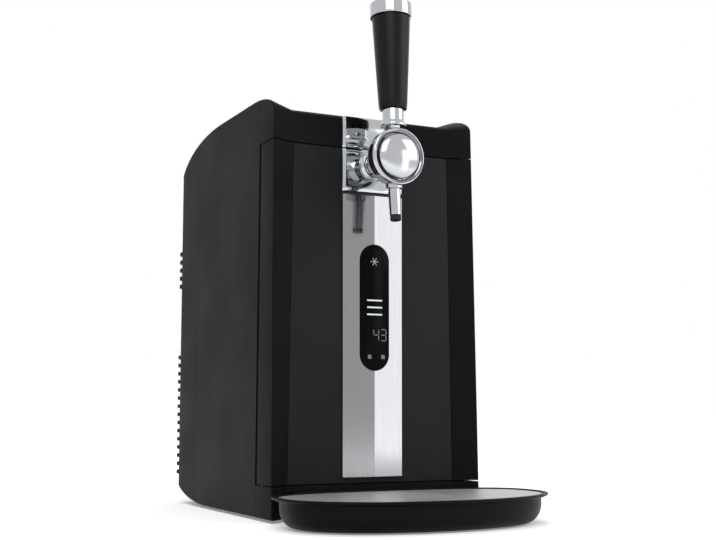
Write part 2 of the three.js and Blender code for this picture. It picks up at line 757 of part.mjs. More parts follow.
function addAirPump(front) {
  const axisY = front + pumpFootThickness + pumpHeadHalf;
  const motor = rod('x', [-pumpHalfLength, axisY, pumpHeight], 2 * pumpHalfLength - pumpHeadLength, pumpRadius);
  const headX = [pumpHalfLength - pumpHeadLength - fit, pumpHalfLength];
  const headZ = [pumpHeight - pumpHeadHalf, pumpHeight + pumpHeadHalf];
  const head = block(headX, [axisY - pumpHeadHalf, axisY + pumpHeadHalf], headZ);
  const foot = block([-pumpHalfLength, pumpHalfLength], [front, front + pumpFootThickness + pumpHeadHalf / 2],
    [pumpHeight - pumpRadius / 2, pumpHeight + pumpRadius / 2]);
  const portX = pumpHalfLength - pumpHeadLength / 2;
  const portStart = [portX, axisY, headZ[1] - pumpPortRadius];
  const port = rod('z', portStart, pumpPortHeight + pumpPortRadius, airTubeBore);
  piece(housing, 'air_pump', 'grip', join(motor, head, foot, port));

  const tubeStart = headZ[1] + fit;
  const bend = airTubeBend;
  const route = new THREE.CatmullRomCurve3([
    new THREE.Vector3(portX, axisY, tubeStart),
    new THREE.Vector3(portX, axisY, tubeStart + bend),
    new THREE.Vector3(portX / 2, axisY, airTubeTop),
    new THREE.Vector3(0, axisY - bend / 2, airTubeTop),
    new THREE.Vector3(0, insulationBack + fit, airTubeTop),
    new THREE.Vector3(0, insulationBack - bend / 2, airTubeTop),
  ], false, 'centripetal');
  const ring = (radius) => {
    const shape = new THREE.Shape();
    shape.absarc(0, 0, radius, 0, 2 * Math.PI);
    const options = { extrudePath: route, steps: 4 * arcSteps, curveSegments: arcSteps };
    return new THREE.ExtrudeGeometry(shape, options);
  };
  const bore = rod('z', [portX, axisY, tubeStart - fit], pumpPortHeight + 2 * fit, airTubeBore + fit);
  piece(housing, 'air_tube', 'ceramic', cut(ring(airTubeRadius), bore));

  const tubeEnd = insulationBack - bend / 2 - fit;
  const inside = chamberAxis + chamberHalfWidth - fit;
  const flange = [
    [0, -nozzleFlangeThickness - nozzleLength], [nozzleRadius - fit * 2, -nozzleFlangeThickness - nozzleLength],
    [nozzleRadius, -nozzleFlangeThickness], [nozzleFlangeRadius, -nozzleFlangeThickness],
    [nozzleFlangeRadius, 0], [nozzleRadius, 0], [nozzleRadius, tubeEnd - inside], [0, tubeEnd - inside],
  ];
  const seatCut = cut(block([-nozzleFlangeRadius * 2, nozzleFlangeRadius * 2], [chamberAxis, backY], everyZ),
    rod('z', [0, chamberAxis, 0], bodyTop, chamberHalfWidth - fit, chamberHalfWidth - fit, 8 * arcSteps));
  const beyond = rod('y', [0, chamberAxis, airTubeTop], insulationBack, nozzleRadius);
  const nozzle = turned('y', flange, [0, inside, airTubeTop], smallRound);
  piece(housing, 'air_nozzle', 'grip', cut(nozzle, cut(seatCut, beyond)));
}

function addRearControls() {
  const wallY = bodyDepth + socketFlangeThickness + fit;
  const flangeY = [bodyDepth + fit, wallY];
  const socketCore = common(socketHole(0), block(everyX, [frontY, wallY], everyZ));
  const flange = block(
    [socketX - socketHalfWidth - socketFlange, socketX + socketHalfWidth + socketFlange], flangeY,
    [controlsZ - socketHalfHeight - socketFlange, controlsZ + socketHalfHeight + socketFlange]);
  const cavityFloor = bodyDepth - socketDepth + socketWall;
  const cavity = block(
    [socketX - socketHalfWidth + socketWall, socketX + socketHalfWidth - socketWall], [cavityFloor, backY],
    [controlsZ - socketHalfHeight + socketWall, controlsZ + socketHalfHeight - socketWall]);
  const pinY = [cavityFloor - socketWall / 2, cavityFloor + socketPinLength];
  const pinZ = [controlsZ - socketPinHeight / 2, controlsZ + socketPinHeight / 2];
  const pins = [-1, 0, 1].map((place) => {
    const x = socketX + place * socketPinSpacing;
    return block([x - socketPinWidth / 2, x + socketPinWidth / 2], pinY, pinZ);
  });
  piece(housing, 'power_inlet', 'grip', join(cut(join(socketCore, flange), cavity), ...pins));

  const half = switchHalfWidth + socketWall;
  const height = switchHalfHeight + socketWall;
  const body = join(
    common(rockerHole(0), block(everyX, [frontY, wallY], everyZ)),
    block([-socketX - half - socketFlange, -socketX + half + socketFlange], flangeY,
      [controlsZ - height - socketFlange, controlsZ + height + socketFlange]));
  const room = block([-socketX - switchHalfWidth, -socketX + switchHalfWidth], [cavityFloor, backY],
    [controlsZ - switchHalfHeight, controlsZ + switchHalfHeight]);
  const pivot = [-socketX - half, bodyDepth - switchRockerDepth / 2, controlsZ];
  const axle = rod('x', pivot, 2 * half, switchPivotRadius);
  piece(housing, 'switch_housing', 'grip', join(cut(body, room), axle));

  const rockerHeight = switchHalfHeight - switchClearance;
  const face = wallY + switchRockerProud;
  const rockerOutline = [
    [bodyDepth - switchRockerDepth, controlsZ - rockerHeight / 2],
    [wallY, controlsZ - rockerHeight],
    [wallY + switchRockerProud / 3, controlsZ],
    [face, controlsZ + rockerHeight],
    [bodyDepth - switchRockerDepth, controlsZ + rockerHeight / 2],
  ];
  const rocker = prism('x', rockerOutline, -socketX - switchHalfWidth + fit, -socketX + switchHalfWidth - fit);
  const bore = rod('x', pivot, 2 * half, switchPivotRadius + runningGap);
  piece(housing, 'switch_rocker', 'gloss', cut(rocker, bore));
}

// Door: shell with cheeks, front panel, foam, liner, gasket, hinge pins and magnet
function addDoor() {
  const doorZ = [doorBottom, doorTop];
  const outside = common(envelope(0), block(everyX, [frontY, doorBack], doorZ));
  const insideZ = [doorBottom + panelWall, doorTop - panelWall];
  const doorLinerFront = doorBack - doorLinerThickness - fit;
  const inside = common(envelope(panelWall), block(everyX, [frontY, backY], insideZ));
  const returnY = [doorPanelThickness, doorLinerFront];
  const returns = cut(common(middle(seamLand), block(everyX, returnY, everyZ)), middle(-panelWall));
  const front = common(middle(seamLand), block(everyX, [frontY, doorPanelThickness + fit], everyZ));
  const corner = (side) => {
    const inner = doorChamfer + cutOverrun;
    const beyond = doorBack + cutOverrun;
    const bevel = [[cutOverrun, doorBack - inner], [-inner, beyond], [cutOverrun, beyond]];
    const ring = (z) => bevel.map(([x, y]) => new THREE.Vector3(side * (halfWidthAt(z) + x), y, z));
    return loft(everyZ.map(ring), alongZ);
  };
  const bossStarts = [insideZ[0] - panelWall / 2, insideZ[1] - hingeBossHeight];
  const bosses = bossStarts.map((z) => (
    rod('z', [hingeX, hingeY, z], hingeBossHeight + panelWall / 2, hingeBossRadius)));
  const wallsOnly = cut(outside, cut(inside, returns), front, corner(-1), corner(1));
  const trimmedBosses = bosses.map((boss) => common(boss, outside));
  const pinHoles = [doorBottom, doorTop].map((z) => hingeHole(z));
  const shell = cut(join(wallsOnly, ...trimmedBosses), ...pinHoles);
  piece(door, 'door_shell', 'casing', shell);

  const panelY = [0, doorPanelThickness];
  const channelX = [-stripHalfWidth - fit, stripHalfWidth + fit];
  const channel = block(channelX, [frontY, backY], [stripLow - fit, everyZ[1]]);
  const panel = cut(common(middle(seamLand - seamGap), block(everyX, panelY, doorZ)), channel);
  piece(door, 'door_front_panel', 'frontPanel', panel);

  const foamY = [doorPanelThickness + fit, doorLinerFront - fit];
  const foamZ = [insideZ[0] + fit, insideZ[1] - fit];
  const shankHole = rod('y', [0, frontY, tapZ], backY, shankRadius + fit);
  const foam = cut(common(middle(-panelWall - fit), block(everyX, foamY, foamZ)), shankHole);
  piece(door, 'door_insulation', 'foam', foam);

  const linerRange = [doorBack - doorLinerThickness, doorBack];
  const magnetX = halfWidthAt(latchHeight) - panelWall - magnetHalfWidth - hingeInset / 2;
  const sheet = common(envelope(panelWall + fit), block(everyX, linerRange, foamZ));
  const liner = cut(sheet, corner(-1), corner(1), shankHole, hingeKeepOut(insideZ));
  piece(door, 'door_liner', 'innerPlastic', liner);
  const magnetXs = [magnetX - magnetHalfWidth, magnetX + magnetHalfWidth];
  const magnetY = [doorLinerFront - magnetThickness, doorLinerFront];
  const magnetZ = [latchHeight - magnetHeight / 2, latchHeight + magnetHeight / 2];
  piece(door, 'door_magnet', 'steel', block(magnetXs, magnetY, magnetZ));

  const gasketY = [doorBack + fit, doorBack + fit + gasketThickness];
  const [low, high] = [doorBottom + gasketMargin, doorTop - gasketMargin];
  const ringOutside = block([-gasketHalfWidth, gasketHalfWidth], gasketY, [low, high]);
  const ringInside = block([gasketWidth - gasketHalfWidth, gasketHalfWidth - gasketWidth], [frontY, backY],
    [low + gasketWidth, high - gasketWidth]);
  piece(door, 'door_gasket', 'rubber', cut(ringOutside, ringInside));
  addHinges();
}

// Room in the liner for the hinge bosses of the door shell
function hingeKeepOut([low, high]) {
  const radius = hingeBossRadius + fit;
  return join(
    rod('z', [hingeX, hingeY, low - cutOverrun], hingeBossHeight + cutOverrun + fit, radius),
    rod('z', [hingeX, hingeY, high - hingeBossHeight - fit], hingeBossHeight + cutOverrun + fit, radius));
}

function addHinges() {
  const heights = { hinge_pin_lower: (plinthTop + doorBottom) / 2, hinge_pin_upper: (doorTop + capBottom) / 2 };
  for (const [name, z] of Object.entries(heights)) {
    const drum = rod('z', [0, 0, -hingePinLength / 2], hingePinLength, hingePinRadius);
    const pin = piece(housing, name, 'steel', drum);
    pin.position.set(hingeX, hingeY, z);
  }
  const bore = hingePinRadius + fit;
  const thickness = doorGap - 2 * fit;
  const ring = [[bore, 0], [washerRadius, 0], [washerRadius, thickness], [bore, thickness], [bore, 0]];
  const washer = piece(housing, 'hinge_washer', 'ceramic', turned('z', ring, [0, 0, 0], smallRound));
  washer.position.set(hingeX, hingeY, plinthTop + fit);
}

// Outline of the chrome strip in X and Y, with bevelled sides and a slight crown
function stripOutline(back, crown) {
  const inner = stripHalfWidth - stripChamfer;
  return [
    [-stripHalfWidth, back], [-stripHalfWidth, stripFace + stripChamfer], [-inner, stripFace],
    [0, stripFace - crown],
    [inner, stripFace], [stripHalfWidth, stripFace + stripChamfer], [stripHalfWidth, back],
  ];
}

function capsule(halfWidth, low, high) {
  return [
    ...quarter([0, high - halfWidth], halfWidth, halfWidth, 0),
    ...quarter([0, high - halfWidth], halfWidth, halfWidth, 1).slice(1),
    ...quarter([0, low + halfWidth], halfWidth, halfWidth, 2),
    ...quarter([0, low + halfWidth], halfWidth, halfWidth, 3).slice(1),
  ];
}

// Chrome strip, display and the two polished plates round the tap
function addStrip() {
  const strip = prism('z', stripOutline(doorPanelThickness, stripCrown), stripLow, stripHigh);
  const windowOutline = capsule(displayHalfWidth + fit, displayLow - fit, displayHigh + fit);
  const windowHole = prism('y', windowOutline, frontY, backY);
  piece(door, 'trim_strip', 'brushedTrim', cut(strip, windowHole));
  const lensBack = stripFace - stripCrown + displayLensThickness;
  const lens = prism('y', capsule(displayHalfWidth, displayLow, displayHigh), stripFace - stripCrown, lensBack);
  piece(door, 'display_lens', 'gloss', lens);
  const boardHalf = displayHalfWidth - boardMargin;
  const board = prism('y', capsule(boardHalf, displayLow + boardMargin, displayHigh - boardMargin),
    lensBack + fit, lensBack + fit + boardThickness);
  piece(door, 'display_board', 'board', board);

  const shankHole = rod('y', [0, frontY, tapZ], backY, shankRadius + fit);
  const mount = prism('z', stripOutline(doorPanelThickness, 0), mountLow, doorTop);
  piece(door, 'tap_mount', 'chrome', cut(mount, shankHole));
  piece(housing, 'cap_trim', 'chrome', prism('z', stripOutline(-fit, 0), capBottom, trimTop));
}

// Tap: shank, rosette, round body with its rim, medallion, pivot pin, plunger and spout
function addTap() {
  const centre = [0, tapY, tapZ];
  const bodyBackY = tapY + tapBodyBack;
  const rosetteY = stripFace - fit - rosetteThickness;
  const shankLength = doorBack - doorLinerThickness - bodyBackY - 2 * fit;
  const shank = rod('y', [0, bodyBackY + fit, tapZ], shankLength, shankRadius);
  const shankBoreCut = rod('y', [0, tapY, tapZ], backY, shankBore);
  piece(door, 'tap_shank', 'chrome', cut(shank, shankBoreCut));
  const rosetteFace = rosetteRadius - panelWall;
  const rosette = rod('y', [0, rosetteY, tapZ], rosetteThickness, rosetteFace, rosetteRadius, largeRound);
  const rosetteHole = rod('y', [0, frontY - tapBodyBack, tapZ], backY, shankRadius + fit);
  piece(door, 'tap_rosette', 'chrome', cut(rosette, rosetteHole));

  const round = [
    [0, tapBodyBack], [tapBackRadius, tapBodyBack], [tapBackRadius, tapBodyBack - panelWall],
    ...quarter([0, 0], tapWaistRadius, tapBodyBack - panelWall * 2, 0, 2).reverse()
      .filter(([radius]) => radius > tapBackRadius + panelWall),
    [tapWaistRadius, -tapRimBack], [tapRimRadius, -tapRimBack - fit], [tapRimRadius, -tapRimFront],
    [tapRimRadius - (tapNose - tapRimFront) / 2, -tapNose], [tapRimLip, -tapNose],
    [tapRimLip - fit, -tapNose + tapGroove], [0, -tapNose + tapGroove],
  ];
  const boss = rod('z', [0, tapY, tapZ - tapWaistRadius - spoutBossDrop], tapWaistRadius, spoutBossRadius);
  const cavity = rod('x', [-tapCavityHalf, tapY, tapZ], 2 * tapCavityHalf, tapCavityRadius);
  const pinHole = rod('x', [-pivotPinHalf - fit, tapY, tapZ], 2 * (pivotPinHalf + fit), pivotPinRadius + fit);
  const drain = rod('z', [0, tapY, tapZ - tapWaistRadius - spoutBossDrop - cutOverrun],
    tapWaistRadius + spoutBossDrop + cutOverrun, plungerRadius + fit);
  const rough = join(turned('y', round, centre), boss);
  piece(door, 'tap_body', 'chrome', cut(rough, cavity, pinHole, drain, shankBoreCut, tongueSlot()));

  const back = -tapNose + tapGroove - fit;
  const dome = [
    [0, back], [medallionRadius - fit, back], [medallionRadius, back - fit],
    [medallionRadius, back - medallionEdge],
    ...quarter([0, back - medallionEdge], medallionRadius, -medallionDome, 0).slice(1),
  ];
  piece(door, 'tap_medallion', 'steel', turned('y', dome, centre));
  const pin = rod('x', [-pivotPinHalf, tapY, tapZ], 2 * pivotPinHalf, pivotPinRadius);
  piece(door, 'tap_pivot_pin', 'steel', pin);
  const plungerTop = tapZ - hubRadius - fit;
  const plunger = rod('z', [0, tapY, plungerTop - plungerLength], plungerLength, plungerRadius);
  piece(door, 'valve_plunger', 'rubber', plunger);
  addSpout();
}

// Slot in the round body through which the lever's tongue swings
function tongueSlot() {
  const from = radians(tongueAngle + leverLean);
  const to = radians(tongueAngle + leverLean - leverTravel);
  const margin = tongueThickness / 2 + tongueClearance;
  const reach = tapRimRadius + cutOverrun;
  const place = (angle, radius, side) => [
    tapY + radius * Math.sin(angle) + side * Math.cos(angle),
    tapZ + radius * Math.cos(angle) - side * Math.sin(angle),
  ];
  const fan = [
    place(from, 0, margin), place(from, reach, margin),
    place(mix(from, to, 1 / 2), reach * slotReachShare, 0),
    place(to, reach, -margin), place(to, 0, -margin),
  ];
  const half = tongueHalfWidth + tongueClearance;
  const sideRelief = hubRadius;
  const root = block([-half, half], [tapY - sideRelief / 2, tapY + sideRelief], [tapZ, tapZ + tapCavityRadius]);
  return join(prism('x', fan, -half, half), root);
}

function addSpout() {
  const top = tapZ - tapWaistRadius - spoutBossDrop - fit;
  const length = (top - spoutEndZ) / Math.cos(radians(spoutLean));
  const lean = (form) => form.rotateX(-radians(spoutLean)).translate(0, tapY, top);
  const reach = 2 * spoutRadius;
  const above = block([-reach, reach], [tapY - reach, tapY + reach], [top, bodyTop]);
  const tube = lean(rod('z', [0, 0, -length], length + spoutRadius, spoutEndRadius, spoutRadius));
  const boreStart = -length - spoutTipLength - cutOverrun;
  const bore = lean(rod('z', [0, 0, boreStart], reach - boreStart, spoutBore));
  piece(door, 'spout', 'chrome', cut(tube, above, bore));
  const tip = lean(rod('z', [0, 0, -length - spoutTipLength], spoutTipLength - fit, spoutEndRadius - fit));
  piece(door, 'spout_tip', 'rubber', cut(tip, bore));
}

// Lever: hub, tongue and neck in one casting, a rod, the grip and its cap
function addLever() {
  lever.position.set(0, tapY, tapZ);
  lever.rotation.x = -radians(leverLean);
  const hub = rod('x', [-hubHalfWidth, 0, 0], 2 * hubHalfWidth, hubRadius);
  const tongue = block([-tongueHalfWidth, tongueHalfWidth], [-tongueThickness / 2, tongueThickness / 2],
    [0, collarFrom + collarRim + collarTaper / 2]);
  tongue.rotateX(-radians(tongueAngle));
  const neck = turned('z', [
    [0, collarFrom], [collarRadius - fit, collarFrom], [collarRadius, collarFrom + fit],
    [collarRadius, collarFrom + collarRim], [neckRadius, collarFrom + collarRim + collarTaper],
    [neckRadius, gripFrom - fit], [0, gripFrom - fit],
  ], [0, 0, 0]);
  const bore = rod('x', [-neckRadius, 0, 0], 2 * neckRadius, pivotPinRadius + fit);
  const socketDeep = gripFrom - collarFrom - collarRim - collarTaper;
  const rodHole = rod('z', [0, 0, gripFrom - socketDeep], socketDeep + cutOverrun, rodRadius + fit);
  piece(lever, 'lever_neck', 'chrome', cut(join(hub, tongue, neck), bore, rodHole));
  const rodStart = gripFrom - socketDeep + fit;
  piece(lever, 'lever_rod', 'steel', rod('z', [0, 0, rodStart], rodEnd - rodStart, rodRadius));
  const grip = turned('z', [
    [0, gripFrom], [gripWaist, gripFrom], [gripLowRadius, gripFrom + gripWaistHeight / 2],
    [mix(gripLowRadius, gripHighRadius, 1 / 2), mix(gripFrom, gripTo, 1 / 2)],
    [gripHighRadius, gripTo - fit], [0, gripTo - fit],
  ], [0, 0, 0]);
  const gripDepth = rodEnd - gripFrom + fit;
  const gripHole = rod('z', [0, 0, gripFrom - cutOverrun], gripDepth + cutOverrun, rodRadius + fit);
  piece(lever, 'lever_grip', 'grip', cut(grip, gripHole));
  const capProfile = [
    [0, gripTo], [capRadius, gripTo], [capRadius, gripTo + capLength - capBevel],
    [capRadius - capBevel, gripTo + capLength], [0, gripTo + capLength],
  ];
  piece(lever, 'grip_cap', 'chrome', turned('z', capProfile, [0, 0, 0]));
}

// Plan of the tray at an inset from its rim
function trayOutline(inset) {
  const [a, front, rear] = [trayHalfWidth - inset, trayFront - trayMiddle - inset, trayRearReach - inset];
  return [
    ...quarter([0, -trayMiddle], a, rear, 0, trayRearExponent, trayArcSteps),
    ...quarter([0, -trayMiddle], a, rear, 1, trayRearExponent, trayArcSteps).slice(1),
    ...quarter([0, -trayMiddle], a, front, 2, trayFrontExponent, trayArcSteps).slice(1),
    ...quarter([0, -trayMiddle], a, front, 3, trayFrontExponent, trayArcSteps).slice(1, -1),
  ];
}

function trayLoft(levels) {
  const rings = levels.map(([z, inset]) => trayOutline(inset).map(([x, y]) => new THREE.Vector3(x, y, z)));
  return loft(rings, alongZ);
}

// The tray's tongue in its socket, or the socket itself when made wider
function trayTongue(side, margin, front) {
  const x = [side * tongueX - tongueHalf - margin, side * tongueX + tongueHalf + margin];
  return block(x, [front, tongueReach + margin], [tongueLow - margin, tongueHigh + margin]);
}

// Space that the machine takes in plan, with the tray's gap round it
function bodyClearance() {
  const reach = cheekReachLow + trayGap;
  const wide = trayHalfWidth + cutOverrun;
  const outline = [
    [-wide, -reach], [-bodyHalfWidth - trayGap / 2, -reach], [-creaseHalfWidth - trayGap / 2, -trayGap],
    [creaseHalfWidth + trayGap / 2, -trayGap], [bodyHalfWidth + trayGap / 2, -reach], [wide, -reach],
    [wide, casingFront], [-wide, casingFront],
  ];
  return prism('z', outline, -cutOverrun, bodyTop);
}

function addTray() {
  const lipZ = trayTop - trayLip;
  const floor = trayBottom + trayWall;
  const depth = lipZ - trayBottom;
  const curve = quarter([0, 0], trayFloorInset - trayLipReach, depth * 3 / 4, -1, 2)
    .map(([inset, z]) => [trayBottom + depth * 3 / 4 + z, trayFloorInset - inset])
    .filter((level, i) => i % 2 === 0);
  const lip = [[lipZ, trayLipReach], [lipZ + fit, trayLipReach / 2], [trayTop - trayLip / 2, 0], [trayTop, 0]];
  const bowl = trayLoft([...curve, ...lip]);
  const basinCurve = curve.filter(([z]) => z > floor + fit).map(([z, inset]) => [z, inset + trayWall]);
  const basinTop = [trayTop + cutOverrun, trayLipReach + trayWall];
  const basin = trayLoft([[floor, trayFloorInset + trayWall / 2], ...basinCurve, basinTop]);
  const seatZ = [trayTop - traySeatDepth, trayTop + cutOverrun];
  const seat = trayLoft(seatZ.map((z) => [z, trayRim]));
  const tab = block([-trayTabHalfWidth, trayTabHalfWidth], [-trayTabDepth, 0], [trayTabLow, trayTop]);
  const wallTab = join(bowl, tab);
  const tongues = [-1, 1].map((side) => trayTongue(side, 0, -trayTabDepth / 2));
  const form = join(cut(wallTab, basin, seat, bodyClearance()), ...tongues);
  piece(tray, 'drip_tray', 'tray', form);

  const plateLow = trayTop - traySeatDepth + fit;
  const sheet = trayLoft([plateLow, plateLow + plateThickness].map((z) => [z, trayRim + fit]));
  const slots = [];
  for (let i = 0; i < plateSlotCount; i += 1) {
    const y = plateSlotY + (i - (plateSlotCount - 1) / 2) * plateSlotPitch;
    const slotY = [y - plateSlotWidth / 2, y + plateSlotWidth / 2];
    slots.push(block([-plateSlotHalf, plateSlotHalf], slotY, everyZ));
  }
  piece(tray, 'drip_plate', 'steel', cut(sheet, ...slots));
}

addCasing();
addBase();
addChamber();
addCooling();
addSupplies();
addDoor();
addStrip();
addTap();
addLever();
addTray();

// The origin is the middle of the machine's footprint, on the ground
machine.position.y = (trayFront - bodyDepth - ribProud) / 2;

export default machine;
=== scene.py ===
"""Looks of a countertop mini keg beer dispenser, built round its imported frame.

Forms are written in millimetres in the door's own frame, whose plane Y = 0 is the flat face of
the door, and are moved into the frame of the part, in metres, when a piece is finished.
"""
import math

import bmesh
import bpy
from mathutils import Matrix, Vector


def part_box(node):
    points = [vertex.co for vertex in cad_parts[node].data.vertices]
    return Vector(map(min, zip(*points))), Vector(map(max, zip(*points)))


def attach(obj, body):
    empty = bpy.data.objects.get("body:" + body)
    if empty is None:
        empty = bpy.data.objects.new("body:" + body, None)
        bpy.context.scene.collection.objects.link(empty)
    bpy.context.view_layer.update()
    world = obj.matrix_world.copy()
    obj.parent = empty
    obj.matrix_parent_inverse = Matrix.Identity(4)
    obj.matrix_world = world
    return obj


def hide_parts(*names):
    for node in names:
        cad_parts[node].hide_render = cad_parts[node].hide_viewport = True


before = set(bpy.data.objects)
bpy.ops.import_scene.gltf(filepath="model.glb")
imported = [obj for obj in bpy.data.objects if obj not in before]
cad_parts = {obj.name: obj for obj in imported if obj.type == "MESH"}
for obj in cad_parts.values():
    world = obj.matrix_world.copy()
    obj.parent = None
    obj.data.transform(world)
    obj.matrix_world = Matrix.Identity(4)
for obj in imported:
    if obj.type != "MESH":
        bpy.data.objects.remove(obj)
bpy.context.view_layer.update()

METRE = 1000.0
FACE_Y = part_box("door_front_panel")[0].y
TO_PART = Matrix.Translation((0.0, FACE_Y, 0.0)) @ Matrix.Scale(1 / METRE, 4)
PIXELS_WIDE = 716


# Places of the frame in the door's own millimetres

def low(node):
    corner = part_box(node)[0]
    return Vector((corner.x, corner.y - FACE_Y, corner.z)) * METRE


def high(node):
    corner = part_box(node)[1]
    return Vector((corner.x, corner.y - FACE_Y, corner.z)) * METRE


# Driving sizes of the casing
HALF_WIDTH = 123.5
TOP_HALF_WIDTH = 118.1
UNDERSIDE = low("front_plinth").z
BODY_TOP = high("top_cap").z
BODY_BACK = 302.0
WALL = 3.0
FIT = 0.3
OVERRUN = 5.0
CREASE = 99.5
TOP_CREASE = 91.2
CHEEK_LOW = 17.5
CHEEK_HIGH = 10.0
VALLEY = 9.0
HEEL = (115.0, 32.0)
SHOULDER = (150.0, 385.0)
SHOULDER_SHAPE = 2.15
BROW = (50.0, 425.0)
REAR_CORNER = 14.0
EDGE_ROUND = 1.6
SEAM = 0.5
SEAM_LAND = 0.4
REAR_SEAM = 230.0
DOOR_LOW = low("door_shell").z
DOOR_HIGH = high("door_shell").z
DOOR_BACK = high("door_liner").y
CASING_FRONT = low("side_panel_left").y
PLINTH_TOP = high("front_plinth").z
CAP_LOW = low("top_cap").z

# Steps of round forms
FINE = 24
EDGE_STEPS = 4
AROUND = 96
BEVEL_SEGMENTS = 3
BEVEL_ANGLE = 35.0


def mix(a, b, share):
    return a + (b - a) * share


def quarter(centre, a, b, turn, shape=2.0, steps=FINE):
    """Points of a quarter of a superellipse, counted in quarter turns from the first axis."""
    points = []
    for i in range(steps + 1):
        angle = (turn + i / steps) * math.pi / 2
        c, s = math.cos(angle), math.sin(angle)
        x = math.copysign(abs(c) ** (2 / shape), c) if abs(c) > 1e-9 else 0.0
        y = math.copysign(abs(s) ** (2 / shape), s) if abs(s) > 1e-9 else 0.0
        points.append((centre[0] + a * x, centre[1] + b * y))
    return points


def fillet(points, radius):
    """Rounds the corners of an open outline. A point may end in its own radius."""
    made = []
    for i, point in enumerate(points):
        here = Vector(point[:2])
        own = point[2] if len(point) > 2 else radius
        if own <= 0 or i in (0, len(points) - 1):
            made.append(tuple(here))
            continue
        before = Vector(points[i - 1][:2])
        after = Vector(points[i + 1][:2])
        to_before, to_after = (before - here), (after - here)
        turn = math.pi - to_before.angle(to_after)
        reach = own * math.tan(turn / 2)
        reach = min(reach, to_before.length / 2, to_after.length / 2)
        start = here + to_before.normalized() * reach
        end = here + to_after.normalized() * reach
        for k in range(EDGE_STEPS + 1):
            t = k / EDGE_STEPS
            made.append(tuple(start * (1 - t) ** 2 + here * (2 * t * (1 - t)) + end * t ** 2))
    return made


# Making and joining closed forms

def form(vertices, faces):
    mesh = bpy.data.meshes.new("form")
    mesh.from_pydata([tuple(v) for v in vertices], [], faces)
    bm = bmesh.new()
    bm.from_mesh(mesh)
    bmesh.ops.remove_doubles(bm, verts=bm.verts, dist=1e-5)
    bmesh.ops.recalc_face_normals(bm, faces=bm.faces)
    bm.to_mesh(mesh)
    bm.free()
    obj = bpy.data.objects.new("form", mesh)
    bpy.context.scene.collection.objects.link(obj)
    return obj


def loft(rings):
    """A skin over rings with equal numbers of points, closed by flat ends."""
    count = len(rings[0])
    faces = []
    for k in range(len(rings) - 1):
        for i in range(count):
            a, b = k * count + i, k * count + (i + 1) % count
            faces.append((a, b, b + count, a + count))
    faces.append(tuple(range(count)))
    faces.append(tuple((len(rings) - 1) * count + i for i in range(count)))
    return form([v for ring in rings for v in ring], faces)


def lathe(profile, axis="z", centre=(0, 0, 0), steps=AROUND):
    """A turned form of a profile of radius and height that closes on the axis or on itself."""
    place = {
        "x": lambda c, s, h: (h, c, s),
        "y": lambda c, s, h: (c, h, s),
        "z": lambda c, s, h: (c, s, h),
    }[axis]
    vertices, rows = [], []
    for radius, height in profile:
        if radius < 1e-6:
            rows.append([len(vertices)] * steps)
            vertices.append(Vector(place(0, 0, height)) + Vector(centre))
            continue
        rows.append([len(vertices) + i for i in range(steps)])
        for i in range(steps):
            angle = 2 * math.pi * i / steps
            c, s = radius * math.cos(angle), radius * math.sin(angle)
            vertices.append(Vector(place(c, s, height)) + Vector(centre))
    faces = []
    for a, b in zip(rows, rows[1:]):
        for i in range(steps):
            j = (i + 1) % steps
            corners = list(dict.fromkeys((a[i], a[j], b[j], b[i])))
            if len(corners) > 2:
                faces.append(tuple(corners))
    return form(vertices, faces)


def rod(axis, start, length, radius, steps=AROUND // 2, edge=0.0):
    """A cylinder along an axis, with an optional round edge."""
    profile = [(0, 0), (radius, 0), (radius, length), (0, length)]
    if edge > 0:
        profile = fillet(profile, edge)
    return lathe(profile, axis, start, steps)


def prism(axis, outline, start, end):
    """A straight prism of an outline, along one axis, with the outline in the other two."""
    place = {
        "x": lambda a, b, h: (h, a, b),
        "y": lambda a, b, h: (a, h, b),
        "z": lambda a, b, h: (a, b, h),
    }[axis]
    return loft([[place(a, b, h) for a, b in outline] for h in (start, end)])


def block(x, y, z):
    outline = [(x[0], y[0]), (x[1], y[0]), (x[1], y[1]), (x[0], y[1])]
    return prism("z", outline, z[0], z[1])


def copied(obj):
    twin = bpy.data.objects.new("form", obj.data.copy())
    bpy.context.scene.collection.objects.link(twin)
    return twin


def settle(obj):
    """Turns the result of an object's modifiers into its mesh."""
    graph = bpy.context.evaluated_depsgraph_get()
    mesh = bpy.data.meshes.new_from_object(obj.evaluated_get(graph))
    obj.modifiers.clear()
    old, obj.data = obj.data, mesh
    bpy.data.meshes.remove(old)
    return obj


def drop(obj):
    mesh = obj.data
    bpy.data.objects.remove(obj)
    bpy.data.meshes.remove(mesh)


def combine(obj, operation, tools):
    for tool in tools:
        step = obj.modifiers.new("step", "BOOLEAN")
        step.operation = operation
        step.solver = "MANIFOLD"
        step.object = tool
    settle(obj)
    for tool in tools:
        drop(tool)
    return obj


def cut(obj, *tools):
    return combine(obj, "DIFFERENCE", tools)


def join(obj, *tools):
    return combine(obj, "UNION", tools)


def common(obj, *tools):
    return combine(obj, "INTERSECT", tools)


def rounding(obj, width, segments, angle):
    step = obj.modifiers.new("round", "BEVEL")
    step.width = width
    step.segments = segments
    step.limit_method = "ANGLE"
    step.angle_limit = math.radians(angle)


def bevel(obj, width):
    rounding(obj, width, BEVEL_SEGMENTS, BEVEL_ANGLE)
    return settle(obj)


def turned(obj, matrix):
    obj.data.transform(matrix)
    return obj


def merged(*objects):
    """One mesh of several closed forms that don't touch."""
    bm = bmesh.new()
    for obj in objects:
        bm.from_mesh(obj.data)
    first = objects[0]
    bm.to_mesh(first.data)
    bm.free()
    for obj in objects[1:]:
        drop(obj)
    return first


SMOOTH_ANGLE = 32.0


